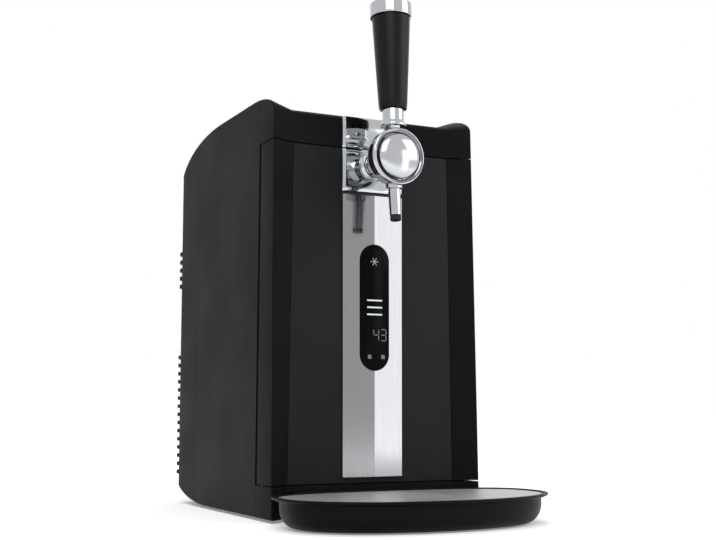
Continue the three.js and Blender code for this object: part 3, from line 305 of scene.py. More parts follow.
def shade(obj, angle=SMOOTH_ANGLE):
    mesh = obj.data
    bm = bmesh.new()
    bm.from_mesh(mesh)
    limit = math.radians(angle)
    for face in bm.faces:
        face.smooth = True
    for edge in bm.edges:
        edge.smooth = len(edge.link_faces) == 2 and edge.calc_face_angle(0.0) < limit
    bm.to_mesh(mesh)
    bm.free()


def piece(obj, name, body, slot, material, *nodes, angle=SMOOTH_ANGLE):
    """Moves a form into the frame of the part and makes it a piece that rides on a body."""
    obj.data.transform(TO_PART)
    obj.name = obj.data.name = name
    obj.data.materials.clear()
    obj.data.materials.append(material)
    shade(obj, angle)
    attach(obj, body)
    if nodes:
        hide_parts(*nodes)
    return obj


# Finishes

def linear(code):
    """A colour written as RRGGBB, in linear light."""
    levels = [int(code[i:i + 2], 16) / 255 for i in (0, 2, 4)]
    return tuple(v / 12.92 if v <= 0.04045 else ((v + 0.055) / 1.055) ** 2.4 for v in levels)


def node(tree, kind, attributes=None, **inputs):
    made = tree.nodes.new(kind)
    for key, value in (attributes or {}).items():
        setattr(made, key, value)
    for key, value in inputs.items():
        socket = made.inputs[key.replace("_", " ")]
        if hasattr(value, "node"):
            tree.links.new(value, socket)
        else:
            socket.default_value = value
    return made


class Finish:
    """A material on the Principled shader, with its detail added step by step."""

    def __init__(self, name, code, roughness, metallic=0.0, specular=0.5):
        self.material = bpy.data.materials.new(name)
        self.material.use_nodes = True
        self.tree = self.material.node_tree
        self.shader = self.tree.nodes["Principled BSDF"]
        self.color = linear(code)
        self.set("Base Color", (*self.color, 1.0))
        self.set("Roughness", roughness)
        self.set("Metallic", metallic)
        self.set("Specular IOR Level", specular)
        self.material.diffuse_color = (*self.color, 1.0)
        self.normal = None

    def set(self, name, value):
        self.shader.inputs[name].default_value = value

    def place(self, stretch=(1, 1, 1)):
        coordinates = node(self.tree, "ShaderNodeTexCoord").outputs["Object"]
        mapping = node(self.tree, "ShaderNodeMapping", Vector=coordinates)
        mapping.inputs["Scale"].default_value = stretch
        return mapping.outputs["Vector"]

    def noise(self, scale, detail=3.0, stretch=(1, 1, 1)):
        place = self.place(stretch)
        return node(self.tree, "ShaderNodeTexNoise", Vector=place, Scale=scale, Detail=detail).outputs["Fac"]

    def spread(self, value, low_end, high_end, start=0.3, end=0.7):
        ranged = node(self.tree, "ShaderNodeMapRange", Value=value)
        for key, number in zip(("From Min", "From Max", "To Min", "To Max"), (start, end, low_end, high_end)):
            ranged.inputs[key].default_value = number
        return ranged.outputs["Result"]

    def vary_roughness(self, low_end, high_end, scale, stretch=(1, 1, 1)):
        value = self.spread(self.noise(scale, 4.0, stretch), low_end, high_end)
        self.tree.links.new(value, self.shader.inputs["Roughness"])
        return self

    def vary_color(self, code, scale, stretch=(1, 1, 1)):
        """Mottles the colour towards a second one."""
        share = self.spread(self.noise(scale, 4.0, stretch), 0.0, 1.0)
        blend = node(self.tree, "ShaderNodeMix", {"data_type": "RGBA"})
        blend.inputs[6].default_value = (*self.color, 1.0)
        blend.inputs[7].default_value = (*linear(code), 1.0)
        self.tree.links.new(share, blend.inputs[0])
        self.tree.links.new(blend.outputs[2], self.shader.inputs["Base Color"])
        return self

    def relief(self, scale, depth, strength=1.0, stretch=(1, 1, 1), detail=3.0):
        """Fine relief of the surface, with its depth in metres."""
        bump = node(self.tree, "ShaderNodeBump", Height=self.noise(scale, detail, stretch), Strength=strength)
        bump.inputs["Distance"].default_value = depth
        if self.normal:
            self.tree.links.new(self.normal, bump.inputs["Normal"])
        self.normal = bump.outputs["Normal"]
        self.tree.links.new(self.normal, self.shader.inputs["Normal"])
        return self

    def soft_edges(self, radius):
        """Lets the light round the sharp edges off."""
        rounder = node(self.tree, "ShaderNodeBevel", {"samples": 4}, Radius=radius)
        self.normal = rounder.outputs["Normal"]
        self.tree.links.new(self.normal, self.shader.inputs["Normal"])
        return self


MOULDED_EDGE = 0.0005
PLATED_EDGE = 0.0002


def moulded(name, code, second, roughness, specular, depth=2.2e-5):
    """Moulded plastic with a fine eroded grain and slightly uneven sheen."""
    finish = Finish(name, code, roughness, specular=specular)
    finish.soft_edges(MOULDED_EDGE)
    finish.vary_color(second, scale=9.0)
    finish.vary_roughness(roughness - 0.04, roughness + 0.05, scale=14.0)
    finish.relief(scale=1900.0, depth=depth, strength=0.55)
    return finish.material


def polished(name, code, roughness):
    """Plated metal with faint waviness and wiping marks."""
    finish = Finish(name, code, roughness, metallic=1.0)
    finish.soft_edges(PLATED_EDGE)
    finish.vary_roughness(max(0.02, roughness - 0.02), roughness + 0.03, scale=60.0)
    finish.relief(scale=28.0, depth=3e-5, strength=0.25, detail=1.0)
    return finish.material


def brushed(name, code, second, roughness, stretch, depth=8e-6, metal=1.0):
    """Metal with fine parallel lines across the stretched direction."""
    finish = Finish(name, code, roughness, metallic=metal)
    finish.vary_color(second, scale=1.0, stretch=stretch)
    finish.vary_roughness(roughness - 0.05, roughness + 0.07, scale=1.0, stretch=stretch)
    finish.relief(scale=1.0, depth=depth, strength=0.5, stretch=stretch, detail=5.0)
    return finish.material


def glowing(name, code, strength):
    """Printed or lit marks under the display's dark cover."""
    finish = Finish(name, code, 0.3)
    finish.vary_roughness(0.25, 0.38, 200.0)
    finish.set("Emission Color", (*finish.color, 1.0))
    finish.set("Emission Strength", strength)
    return finish.material


LINES_UP = (2600.0, 2600.0, 14.0)
LINES_ACROSS = (14.0, 2600.0, 2600.0)


def make_finishes():
    rubber = Finish("black_rubber", "141415", 0.82, specular=0.3)
    rubber.vary_color("1b1b1c", 30.0).vary_roughness(0.76, 0.9, 90.0).relief(1300.0, 3e-5, 0.6)
    gloss = Finish("black_gloss", "040405", 0.16, specular=0.04)
    gloss.vary_roughness(0.12, 0.2, 40.0)
    foam = Finish("insulation_foam", "d8d2c2", 0.95, specular=0.2)
    foam.vary_color("c9c1ab", 25.0).relief(420.0, 4e-4, 0.7, detail=6.0)
    board = Finish("circuit_board", "1c5236", 0.4)
    board.vary_color("17452e", 160.0).vary_roughness(0.3, 0.5, 120.0)
    ceramic = Finish("white_ceramic", "e4e2dc", 0.6, specular=0.4)
    ceramic.vary_color("d8d5cc", 40.0).relief(900.0, 2e-5, 0.4)
    return {
        "casing": moulded("casing_plastic", "101113", "131416", 0.42, 0.03),
        "front": moulded("front_plastic", "131416", "161719", 0.42, 0.1, depth=1.6e-5),
        "inner": moulded("inner_plastic", "383a3d", "404246", 0.55, 0.4, depth=4e-5),
        "tray": moulded("tray_plastic", "0b0b0c", "0e0e0f", 0.4, 0.06, depth=1.6e-5),
        "grip": moulded("grip_plastic", "0f0f10", "131314", 0.3, 0.12, depth=1.0e-5),
        "housing_black": moulded("black_plastic", "18181a", "1d1d1f", 0.5, 0.4, depth=3e-5),
        "chrome": polished("polished_chrome", "b4b6b9", 0.05),
        "trim": brushed("brushed_trim", "8e8f91", "87888a", 0.1, LINES_UP),
        "plate": brushed("brushed_plate", "c0c0c1", "b2b2b3", 0.42, LINES_ACROSS, depth=1.2e-5, metal=0.8),
        "steel": brushed("steel", "b4b5b6", "a5a6a8", 0.3, LINES_UP),
        "aluminium": brushed("aluminium", "c4c6c8", "b6b8ba", 0.36, LINES_UP, depth=1.4e-5),
        "rubber": rubber.material,
        "gloss": gloss.material,
        "medallion": polished("medallion_chrome", "b4b6b9", 0.14),
        # The tap's rim: a darker copy of the chrome, which is painted shade
        "rim": polished("rim_painted_shade_chrome", "77787b", 0.12),
        "lit": glowing("display_light", "c3cdd2", 0.12),
        "icon": glowing("display_icon", "7d8488", 0.10),
        "dim": glowing("display_dim", "5a6064", 0.06),
        "foam": foam.material,
        "board": board.material,
        "ceramic": ceramic.material,
    }


FINISH = make_finishes()


# Casing: the outside is a side view carried across the width, cut by a plan view

WIDE = HALF_WIDTH + OVERRUN
EVERY_X = (-WIDE, WIDE)
EVERY_Z = (UNDERSIDE - OVERRUN, BODY_TOP + OVERRUN)
FRONT = -CHEEK_LOW - OVERRUN
BACK = BODY_BACK + OVERRUN
PLAN_STEPS = 10


def height_share(z):
    return (z - UNDERSIDE) / (BODY_TOP - UNDERSIDE)


def half_width(z):
    return mix(HALF_WIDTH, TOP_HALF_WIDTH, height_share(z))


def crease(z):
    return mix(CREASE, TOP_CREASE, height_share(z))


def side_profile(reach_low, reach_high, crown, inset):
    heel_centre = (BODY_BACK - HEEL[0], UNDERSIDE + HEEL[1])
    back_reach = BODY_BACK - SHOULDER[0] - inset
    foot = (-reach_low + inset, UNDERSIDE + inset)
    brow = quarter(BROW, BROW[0] + reach_high - inset, crown - BROW[1] - inset, 1)
    chin = brow[-1]
    front = [(mix(chin[0], foot[0], k / FINE), mix(chin[1], foot[1], k / FINE)) for k in range(1, FINE)]
    return [
        foot,
        *quarter(heel_centre, HEEL[0] - inset, HEEL[1] - inset, -1),
        *quarter(SHOULDER, back_reach, crown - SHOULDER[1] - inset, 0, SHOULDER_SHAPE, 2 * FINE),
        *brow,
        *front,
    ]


def plan_ring(z, inset, front, depth=BODY_BACK, corner=REAR_CORNER):
    half = half_width(z) - inset
    radius = corner - inset
    back = depth - inset - radius
    outline = [
        (-half, front), (half, front),
        *quarter((half - radius, back), radius, radius, 0, steps=PLAN_STEPS),
        *quarter((radius - half, back), radius, radius, 1, steps=PLAN_STEPS),
    ]
    return [(x, y, z) for x, y in outline]


def envelope(inset, edge=0.0):
    """The outside of the casing, or its inside at a given wall, with round side edges."""
    def ring(profile, side, width):
        return [(side * width(z), y, z) for y, z in profile]

    sides = []
    for k in range(EDGE_STEPS + 1):
        turn = math.pi / 2 * k / EDGE_STEPS
        depth = inset + edge * (1 - math.sin(turn))
        narrow = inset + edge * (1 - math.cos(turn))
        profile = side_profile(CHEEK_LOW, CHEEK_HIGH, BODY_TOP, depth)
        sides.append((profile, lambda z, narrow=narrow: half_width(z) - narrow))
        if edge == 0.0:
            break
    valley = side_profile(0.0, 0.0, BODY_TOP - VALLEY, inset)
    rings = [ring(profile, -1, width) for profile, width in sides]
    rings += [ring(valley, -1, crease), ring(valley, 1, crease)]
    rings += [ring(profile, 1, width) for profile, width in reversed(sides)]
    plan = loft([plan_ring(z, inset, FRONT) for z in EVERY_Z])
    return common(loft(rings), plan)


def middle(margin):
    """Everything between the two creases, made wider or narrower by a margin."""
    z0, z1 = EVERY_Z
    outline = [
        (-crease(z0) - margin, z0), (crease(z0) + margin, z0),
        (crease(z1) + margin, z1), (-crease(z1) - margin, z1),
    ]
    return prism("y", outline, FRONT, BACK)


HINGE = ((low("hinge_pin_lower") + high("hinge_pin_lower")) / 2).xy
HINGE_HOLE = (high("hinge_pin_lower").x - low("hinge_pin_lower").x) / 2 + FIT
PIN_LENGTH = high("hinge_pin_lower").z - low("hinge_pin_lower").z


def hinge_hole(z):
    return rod("z", (HINGE.x, HINGE.y, z - PIN_LENGTH), 2 * PIN_LENGTH, HINGE_HOLE)


def make_casing():
    outer, inner = envelope(0.0, EDGE_ROUND), envelope(WALL)
    shell = cut(copied(outer), copied(inner))
    side_y = (CASING_FRONT, REAR_SEAM - SEAM / 2)
    for name, x in (("left", (-WIDE, 0.0)), ("right", (0.0, WIDE))):
        panel = cut(common(copied(shell), block(x, side_y, EVERY_Z)), middle(SEAM_LAND))
        piece(panel, f"side_{name}_shown", "housing", "casing", FINISH["casing"], f"side_panel_{name}")
    top = common(copied(shell), middle(SEAM_LAND - SEAM), block(EVERY_X, side_y, (SHOULDER[1], EVERY_Z[1])))
    piece(top, "top_cover_shown", "housing", "casing", FINISH["casing"], "top_cover")

    front_y = (FRONT, CASING_FRONT - SEAM)
    cap = common(copied(outer), block(EVERY_X, front_y, (CAP_LOW, EVERY_Z[1])))
    room = common(copied(inner), block(EVERY_X, (FRONT, BACK), (CAP_LOW + WALL, EVERY_Z[1])))
    cap = cut(cap, room, hinge_hole(CAP_LOW + PIN_LENGTH / 2))
    piece(cap, "top_cap_shown", "housing", "casing", FINISH["casing"], "top_cap")

    plinth = common(copied(outer), block(EVERY_X, front_y, (EVERY_Z[0], PLINTH_TOP)))
    room = common(copied(inner), block(EVERY_X, (FRONT, BACK), (EVERY_Z[0], PLINTH_TOP - WALL)))
    sockets = [tray_tongue(side, FIT, -OVERRUN) for side in (-1, 1)]
    plinth = cut(plinth, room, *sockets, hinge_hole(PLINTH_TOP - PIN_LENGTH / 2))
    piece(plinth, "plinth_shown", "housing", "casing", FINISH["casing"], "front_plinth")
    make_lips()
    make_rear(shell)
    make_door(outer, inner)
    for used in (shell, outer, inner):
        drop(used)


LIP_FRONT = 10.0
LIP_MARGIN = 4.0
LIP_SINK = 0.2
LIP_EDGE = 0.1
PLINTH_LIP_LEFT = -98.0
CAP_LIP_LEFT = -90.0


def make_lips():
    """Low lips on the plinth and the cap, which close the view through the door's gaps."""
    def lip(name, left, level, z):
        x = (left, half_width(level) - LIP_MARGIN)
        strip = block(x, (LIP_FRONT, DOOR_BACK - LIP_MARGIN), z)
        piece(bevel(strip, LIP_EDGE), name, "housing", "inner_plastic", FINISH["housing_black"])

    lip("plinth_lip", PLINTH_LIP_LEFT, PLINTH_TOP, (PLINTH_TOP - LIP_SINK, DOOR_LOW - FIT))
    lip("cap_lip", CAP_LIP_LEFT, CAP_LOW, (DOOR_HIGH + FIT, CAP_LOW + LIP_SINK))


# Back of the casing
RIB_PROUD = 9.0
RIB_CORNER = 12.0
RIB_PITCH = 10.2
RIB_THICKNESS = 4.6
RIB_ROOT = 7.0
RIB_EDGE = 1.0
RIB_GROUPS = ((36.0, 15), (268.0, 5))
VENT_HALF = 82.0
SOCKET_LOW, SOCKET_HIGH = low("power_inlet"), high("power_inlet")
SWITCH_LOW, SWITCH_HIGH = low("switch_housing"), high("switch_housing")
FLANGE = 3.0


def make_rear(shell):
    cover = common(copied(shell), block(EVERY_X, (REAR_SEAM + SEAM / 2, BACK), EVERY_Z))
    root = BODY_BACK - RIB_ROOT
    depth, corner = BODY_BACK + RIB_PROUD + SEAM, RIB_CORNER + SEAM
    ribs, vents = [], []
    for start, count in RIB_GROUPS:
        for i in range(count):
            z = start + i * RIB_PITCH
            top = z + RIB_THICKNESS
            levels = fillet([(z, 0), (z, RIB_EDGE), (top, RIB_EDGE), (top, 0)], RIB_EDGE)
            insets = [(level, SEAM + RIB_EDGE - share) for level, share in levels]
            ribs.append(loft([plan_ring(level, inset, root, depth, corner) for level, inset in insets]))
            if i + 1 < count:
                gap = (top, z + RIB_PITCH)
                vents.append(block((-VENT_HALF, VENT_HALF), (root, BODY_BACK + RIB_PROUD), gap))
    ribs = cut(merged(*ribs), envelope(WALL / 2))
    holes = []
    for lowest, highest in ((SOCKET_LOW, SOCKET_HIGH), (SWITCH_LOW, SWITCH_HIGH)):
        edge = FLANGE - FIT
        holes.append(block((lowest.x + edge, highest.x - edge), (lowest.y - FIT, BACK),
                           (lowest.z + edge, highest.z - edge)))
    cover = cut(join(cover, ribs), merged(*vents), *holes)
    piece(cover, "rear_cover_shown", "housing", "casing", FINISH["casing"], "rear_cover")


# Door
DOOR_CHAMFER = 4.0
PANEL = high("door_front_panel").y
LINER_THICKNESS = 3.0
STRIP_HALF = high("trim_strip").x
STRIP_LOW = low("trim_strip").z
STRIP_HIGH = high("trim_strip").z


def door_corner(side):
    inner = DOOR_CHAMFER + OVERRUN
    beyond = DOOR_BACK + OVERRUN
    bevel_points = ((OVERRUN, DOOR_BACK - inner), (-inner, beyond), (OVERRUN, beyond))
    return loft([[(side * (half_width(z) + x), y, z) for x, y in bevel_points] for z in EVERY_Z])


def make_door(outer, inner):
    door_z = (DOOR_LOW, DOOR_HIGH)
    outside = common(copied(outer), block(EVERY_X, (FRONT, DOOR_BACK), door_z))
    inside_z = (DOOR_LOW + WALL, DOOR_HIGH - WALL)
    inside = common(copied(inner), block(EVERY_X, (FRONT, BACK), inside_z))
    return_y = (PANEL, DOOR_BACK - LINER_THICKNESS - FIT)
    returns = cut(common(middle(SEAM_LAND), block(EVERY_X, return_y, EVERY_Z)), middle(-WALL))
    face = common(middle(SEAM_LAND), block(EVERY_X, (FRONT, PANEL + FIT), EVERY_Z))
    holes = [hinge_hole(z) for z in door_z]
    shell = cut(outside, cut(inside, returns), face, door_corner(-1), door_corner(1), *holes)
    piece(shell, "door_shell_shown", "door", "casing", FINISH["casing"], "door_shell")

    channel = block((-STRIP_HALF - FIT, STRIP_HALF + FIT), (FRONT, BACK), (STRIP_LOW - FIT, EVERY_Z[1]))
    panel = cut(common(middle(SEAM_LAND - SEAM), block(EVERY_X, (0.0, PANEL), door_z)), channel)
    piece(panel, "door_panel_shown", "door", "front_panel", FINISH["front"], "door_front_panel")


# Drip tray
TRAY_TOP = high("drip_tray").z
TRAY_BOTTOM = low("drip_tray").z
TRAY_HALF = high("drip_tray").x
TRAY_FRONT = -low("drip_tray").y
TRAY_MIDDLE = 93.0
TRAY_REAR = 72.0
TRAY_FRONT_SHAPE = 2.07
TRAY_REAR_SHAPE = 2.9
TRAY_LIP = 4.0
TRAY_LIP_REACH = 7.0
TRAY_WALL = 2.6
TRAY_FLOOR_INSET = 22.0
TRAY_RIM = 5.0
TRAY_SEAT = 3.0
TRAY_GAP = 1.8
TRAY_RISE_SHARE = 0.75
TRAY_STEPS = 12
FLARE_FOOT, FLARE_MIDDLE, FLARE_EDGE, FLARE_TOP = 1.5, 3.0, 1.2, 0.8
TONGUE_EDGE = 0.8
PLATE_EDGE = 0.5
TAB_HALF = 97.0
TAB_DEPTH = 36.0
TAB_LOW = 11.0
TONGUE_X = 60.0
TONGUE_HALF = 15.0
TONGUE_Z = (14.0, 20.0)
TONGUE_REACH = 22.0
PLATE_LOW = low("drip_plate").z
PLATE_HIGH = high("drip_plate").z
SLOT_HALF = 34.0
SLOT_WIDTH = 4.6
SLOT_PITCH = 12.0
SLOT_COUNT = 7
SLOT_Y = -96.0
SLOT_STEPS = 6


def tray_tongue(side, margin, front):
    x = (side * TONGUE_X - TONGUE_HALF - margin, side * TONGUE_X + TONGUE_HALF + margin)
    return block(x, (front, TONGUE_REACH + margin), (TONGUE_Z[0] - margin, TONGUE_Z[1] + margin))


def tray_outline(inset):
    a = TRAY_HALF - inset
    front, rear = TRAY_FRONT - TRAY_MIDDLE - inset, TRAY_REAR - inset
    centre = (0.0, -TRAY_MIDDLE)
    points = quarter(centre, a, rear, 0, TRAY_REAR_SHAPE)
    points += quarter(centre, a, rear, 1, TRAY_REAR_SHAPE)[1:]
    points += quarter(centre, a, front, 2, TRAY_FRONT_SHAPE)[1:]
    points += quarter(centre, a, front, 3, TRAY_FRONT_SHAPE)[1:-1]
    return points


def tray_loft(levels):
    return loft([[(x, y, z) for x, y in tray_outline(inset)] for z, inset in levels])


def body_clearance():
    reach = CHEEK_LOW + TRAY_GAP
    wide = TRAY_HALF + OVERRUN
    side, inner = HALF_WIDTH + TRAY_GAP / 2, CREASE + TRAY_GAP / 2
    outline = [
        (-wide, -reach), (-side, -reach), (-inner, -TRAY_GAP), (inner, -TRAY_GAP),
        (side, -reach), (wide, -reach), (wide, CASING_FRONT), (-wide, CASING_FRONT),
    ]
    return prism("z", outline, -OVERRUN, BODY_TOP)


def make_tray():
    lip_z = TRAY_TOP - TRAY_LIP
    floor = TRAY_BOTTOM + TRAY_WALL
    rise = (lip_z - TRAY_BOTTOM) * TRAY_RISE_SHARE
    arc = quarter((0, 0), TRAY_FLOOR_INSET - TRAY_LIP_REACH, rise, -1, steps=TRAY_STEPS)
    curve = [(TRAY_BOTTOM + rise + z, TRAY_FLOOR_INSET - inset) for inset, z in arc]
    lip = fillet([
        curve[-1], (lip_z, TRAY_LIP_REACH), (lip_z + FIT, TRAY_LIP_REACH / 2, FLARE_MIDDLE),
        (TRAY_TOP - TRAY_LIP / 2, 0.0, FLARE_EDGE), (TRAY_TOP, 0.0, FLARE_TOP), (TRAY_TOP, TRAY_RIM),
    ], FLARE_FOOT)
    bowl = tray_loft(curve[:-1] + lip)
    basin_curve = [(z, inset + TRAY_WALL) for z, inset in curve if z > floor + FIT]
    basin = tray_loft([(floor, TRAY_FLOOR_INSET + TRAY_WALL / 2), *basin_curve,
                       (TRAY_TOP + OVERRUN, TRAY_LIP_REACH + TRAY_WALL)])
    seat = tray_loft([(TRAY_TOP - TRAY_SEAT, TRAY_RIM), (TRAY_TOP - FIT, TRAY_RIM),
                      (TRAY_TOP + OVERRUN, TRAY_RIM - 2 * FIT)])
    tab = block((-TAB_HALF, TAB_HALF), (-TAB_DEPTH, 0.0), (TAB_LOW, TRAY_TOP))
    tongues = [bevel(tray_tongue(side, 0.0, -TAB_DEPTH / 2), TONGUE_EDGE) for side in (-1, 1)]
    tray = join(cut(join(bowl, tab), basin, seat, body_clearance()), *tongues)
    piece(tray, "drip_tray_shown", "tray", "tray", FINISH["tray"], "drip_tray")

    inset, edge = TRAY_RIM + FIT, PLATE_EDGE
    sheet = tray_loft([(PLATE_LOW, inset + edge), (PLATE_LOW + edge, inset), (PLATE_HIGH - edge, inset),
                       (PLATE_HIGH, inset + edge)])
    slots = []
    for i in range(SLOT_COUNT):
        y = SLOT_Y + (i - (SLOT_COUNT - 1) / 2) * SLOT_PITCH
        slots.append(prism("z", round_slot(SLOT_HALF, SLOT_WIDTH / 2, y), *EVERY_Z))
    plate = cut(sheet, *slots)
    piece(plate, "drip_plate_shown", "plate", "steel", FINISH["plate"], "drip_plate")


def round_slot(half_length, radius, y):
    """Outline of a slot with round ends, along X."""
    def end(centre, turn):
        return quarter(centre, radius, radius, turn, steps=SLOT_STEPS)

    right, left = (half_length - radius, y), (radius - half_length, y)
    return end(right, 3) + end(right, 0)[1:] + end(left, 1) + end(left, 2)[1:]


# Chrome strip, display and the polished plates round the tap
STRIP_FACE = -4.0
STRIP_CROWN = 1.2
STRIP_CHAMFER = 2.5
LENS_HALF = high("display_lens").x
LENS_LOW, LENS_HIGH = low("display_lens").z, high("display_lens").z
MOUNT_LOW, MOUNT_HIGH = low("tap_mount").z, high("tap_mount").z
TRIM_LOW, TRIM_HIGH = low("cap_trim").z, high("cap_trim").z
TAP = (0.0, -50.0, 377.5)
LENS_DEPTH = 6.0
LENS_EDGE = 0.6
LENS_SHOULDER = (0.2, 0.15)
JOINT_FRONT = 0.4
JOINT_EDGE = 0.2
PLATE_STEPS = 32
MOUNT_CROWN = 0.9
TRIM_CROWN = 0.8
ROLLED_DEPTH = 0.6
ROLLED_PARTS = 12
STRIP_SMOOTH, PLATE_SMOOTH = 2.0, 20.0
SHANK_HOLE = 11.3


def strip_outline(back, crown):
    inner = STRIP_HALF - STRIP_CHAMFER
    return [
        (-STRIP_HALF, back), (-STRIP_HALF, STRIP_FACE + STRIP_CHAMFER), (-inner, STRIP_FACE),
        (0.0, STRIP_FACE - crown),
        (inner, STRIP_FACE), (STRIP_HALF, STRIP_FACE + STRIP_CHAMFER), (STRIP_HALF, back),
    ]


def capsule(half, lowest, highest):
    upper, lower = (0.0, highest - half), (0.0, lowest + half)
    return (quarter(upper, half, half, 0) + quarter(upper, half, half, 1)[1:]
            + quarter(lower, half, half, 2) + quarter(lower, half, half, 3)[1:])


def crowned_plate(back, lowest, highest, crown):
    """A strip plate whose face is a shallow arch in height, with rolled ends."""
    rings = []
    for k in range(PLATE_STEPS + 1):
        share = k / PLATE_STEPS
        z = mix(lowest, highest, share)
        rolled = 1 - min(1.0, min(share, 1 - share) * ROLLED_PARTS)
        sag = crown * (2 * share - 1) ** 2 + ROLLED_DEPTH * rolled ** 2
        rings.append([(x, y + (sag if y < 0 else 0.0), z) for x, y in strip_outline(back, 0.0)])
    return loft(rings)


def make_strip():
    strip = prism("z", strip_outline(PANEL, STRIP_CROWN), STRIP_LOW, STRIP_HIGH)
    window = prism("y", capsule(LENS_HALF + FIT, LENS_LOW - FIT, LENS_HIGH + FIT), FRONT, BACK)
    strip = cut(strip, window)
    piece(strip, "trim_strip_shown", "door", "brushed_trim", FINISH["trim"], "trim_strip",
          angle=STRIP_SMOOTH)

    def lens_ring(inset, y):
        return [(x, y, z) for x, z in capsule(LENS_HALF - inset, LENS_LOW + inset, LENS_HIGH - inset)]

    lens_front = STRIP_FACE - STRIP_CROWN
    shoulder, proud = LENS_SHOULDER
    lens = loft([lens_ring(0.0, lens_front + LENS_DEPTH), lens_ring(0.0, lens_front + LENS_EDGE),
                 lens_ring(shoulder, lens_front + proud), lens_ring(LENS_EDGE, lens_front)])
    piece(lens, "display_lens_shown", "door", "gloss", FINISH["gloss"], "display_lens")
    make_display(lens_front)

    joint = block((-STRIP_HALF, STRIP_HALF), (JOINT_FRONT, PANEL), (STRIP_HIGH, MOUNT_LOW))
    piece(bevel(joint, JOINT_EDGE), "strip_joint", "door", "inner_plastic", FINISH["housing_black"])

    shank_hole = rod("y", (0.0, FRONT, TAP[2]), BACK, SHANK_HOLE)
    mount = cut(crowned_plate(PANEL, MOUNT_LOW, MOUNT_HIGH, MOUNT_CROWN), shank_hole)
    piece(mount, "tap_mount_shown", "door", "chrome", FINISH["chrome"], "tap_mount", angle=PLATE_SMOOTH)
    trim = crowned_plate(-FIT, TRIM_LOW, TRIM_HIGH, TRIM_CROWN)
    piece(trim, "cap_trim_shown", "housing", "chrome", FINISH["chrome"], "cap_trim", angle=PLATE_SMOOTH)


# Marks of the display: bars, two dim digits, two keys and a snowflake, all generic
MARK_DEEP = 0.2
MARK_PROUD = 0.02
BAR_HALF, BAR_THICK = 9.0, 0.8
BAR_LEVELS = (232.5, 225.0, 217.4)
FLAKE_LEVEL = 274.0
FLAKE_ARMS = 3
ARM_HALF, ARM_THICK = 4.6, 0.45
DIGIT_LEVEL = 195.5
DIGITS = (("4", 1.8), ("3", 10.6))
SEGMENTS = {"4": "bcfg", "3": "abcdg"}
DIGIT_WIDE, DIGIT_TALL, SEGMENT_THICK, SEGMENT_GAP = 3.0, 6.0, 0.5, 0.6
KEY_PLACES = (-6.0, 10.0)
KEY_HALF = 2.1
KEY_Z = (170.0, 174.2)


def mark(x, z, y):
    return block(x, (y - MARK_PROUD, y + MARK_DEEP), z)


def make_display(front):
    lit, dim = FINISH["lit"], FINISH["dim"]
    bars = [mark((-BAR_HALF, BAR_HALF), (z - BAR_THICK, z + BAR_THICK), front) for z in BAR_LEVELS]
    piece(merged(*bars), "display_bars", "door", "gloss", lit)
    arms = []
    for k in range(FLAKE_ARMS):
        arm = mark((-ARM_HALF, ARM_HALF), (-ARM_THICK, ARM_THICK), front)
        turn = Matrix.Translation((0, 0, FLAKE_LEVEL)) @ Matrix.Rotation(math.pi * k / FLAKE_ARMS, 4, "Y")
        arms.append(turned(arm, turn))
    flake = join(*arms)
    piece(flake, "display_snowflake", "door", "gloss", FINISH["icon"])
    digits = [segment_mark(segment, x, DIGIT_LEVEL, front)
              for digit, x in DIGITS for segment in SEGMENTS[digit]]
    piece(merged(*digits), "display_digits", "door", "gloss", dim)
    keys = [mark((x - KEY_HALF, x + KEY_HALF), KEY_Z, front) for x in KEY_PLACES]
    piece(merged(*keys), "display_keys", "door", "gloss", dim)


def segment_mark(segment, x, z, front):
    """One bar of a seven-segment digit, counted from the digit's centre."""
    wide, tall, thin, gap = DIGIT_WIDE, DIGIT_TALL, SEGMENT_THICK, SEGMENT_GAP
    across = {"a": tall, "g": 0.0, "d": -tall}
    if segment in across:
        level = z + across[segment]
        return mark((x - wide + gap, x + wide - gap), (level - thin, level + thin), front)
    side = wide if segment in "bc" else -wide
    middle_z = z + (tall / 2 if segment in "bf" else -tall / 2)
    ends = (middle_z - tall / 2 + gap, middle_z + tall / 2 - gap)
    return mark((x + side - thin, x + side + thin), ends, front)


# Tap. Profiles are pairs of a radius and a depth along Y, some with a corner radius after them
WAIST = 29.4
CROWN_DEPTH, CROWN_END = 19.0, 16.0
STEM = ((0, 25), (13, 25), (13, 22))
RIM = ((WAIST, -5), (30, -5.3), (30, -9.5, 1.6), (28.8, -12.0, 1.2), (26.4, -11.4, 1.5),
       (24.6, -10.2, 0.3), (24.6, -7.0, 0.3), (22.6, -7.0, 0.3), (22.6, -9.4))
RIM_EDGE = 0.8
# Bounds of the rim's painted shade, a darker copy of the chrome, in metres: its two radii, and the depth that
# it starts at
RIM_SHADE_INNER, RIM_SHADE_OUTER, RIM_SHADE_DEPTH = 0.0220, 0.0283, -0.0065
BOSS_LOW, BOSS_RADIUS = 345.1, 9.0
CAVITY_HALF, CAVITY_RADIUS = 7.0, 12.0
BORE_RADIUS = 4.5
SHANK_FRONT, SHANK_LENGTH, SHANK_RADIUS, SHANK_EDGE = -24.7, 49.1, 11.0, 0.5
ROSETTE = ((SHANK_HOLE, -4.3), (17, -4.3), (17, -6.0), (14.5, -8.8), (SHANK_HOLE, -8.8), (SHANK_HOLE, -4.3))
ROSETTE_EDGE = 0.6
MEDALLION_BACK, MEDALLION_RADIUS = -9.7, 23.3
MEDALLION_EDGE, MEDALLION_DOME = 1.6, 7.4
# Lever and its blade, in degrees, and the room that the body leaves for the blade
LEVER_LEAN, LEVER_TRAVEL, BLADE_LEAN = 2.6, 30.0, 25.0
BLADE_SLOT_HALF, BLADE_MARGIN = 3.6, 3.1
BODY_REACH = 30.0
FAN_BULGE = 1.2


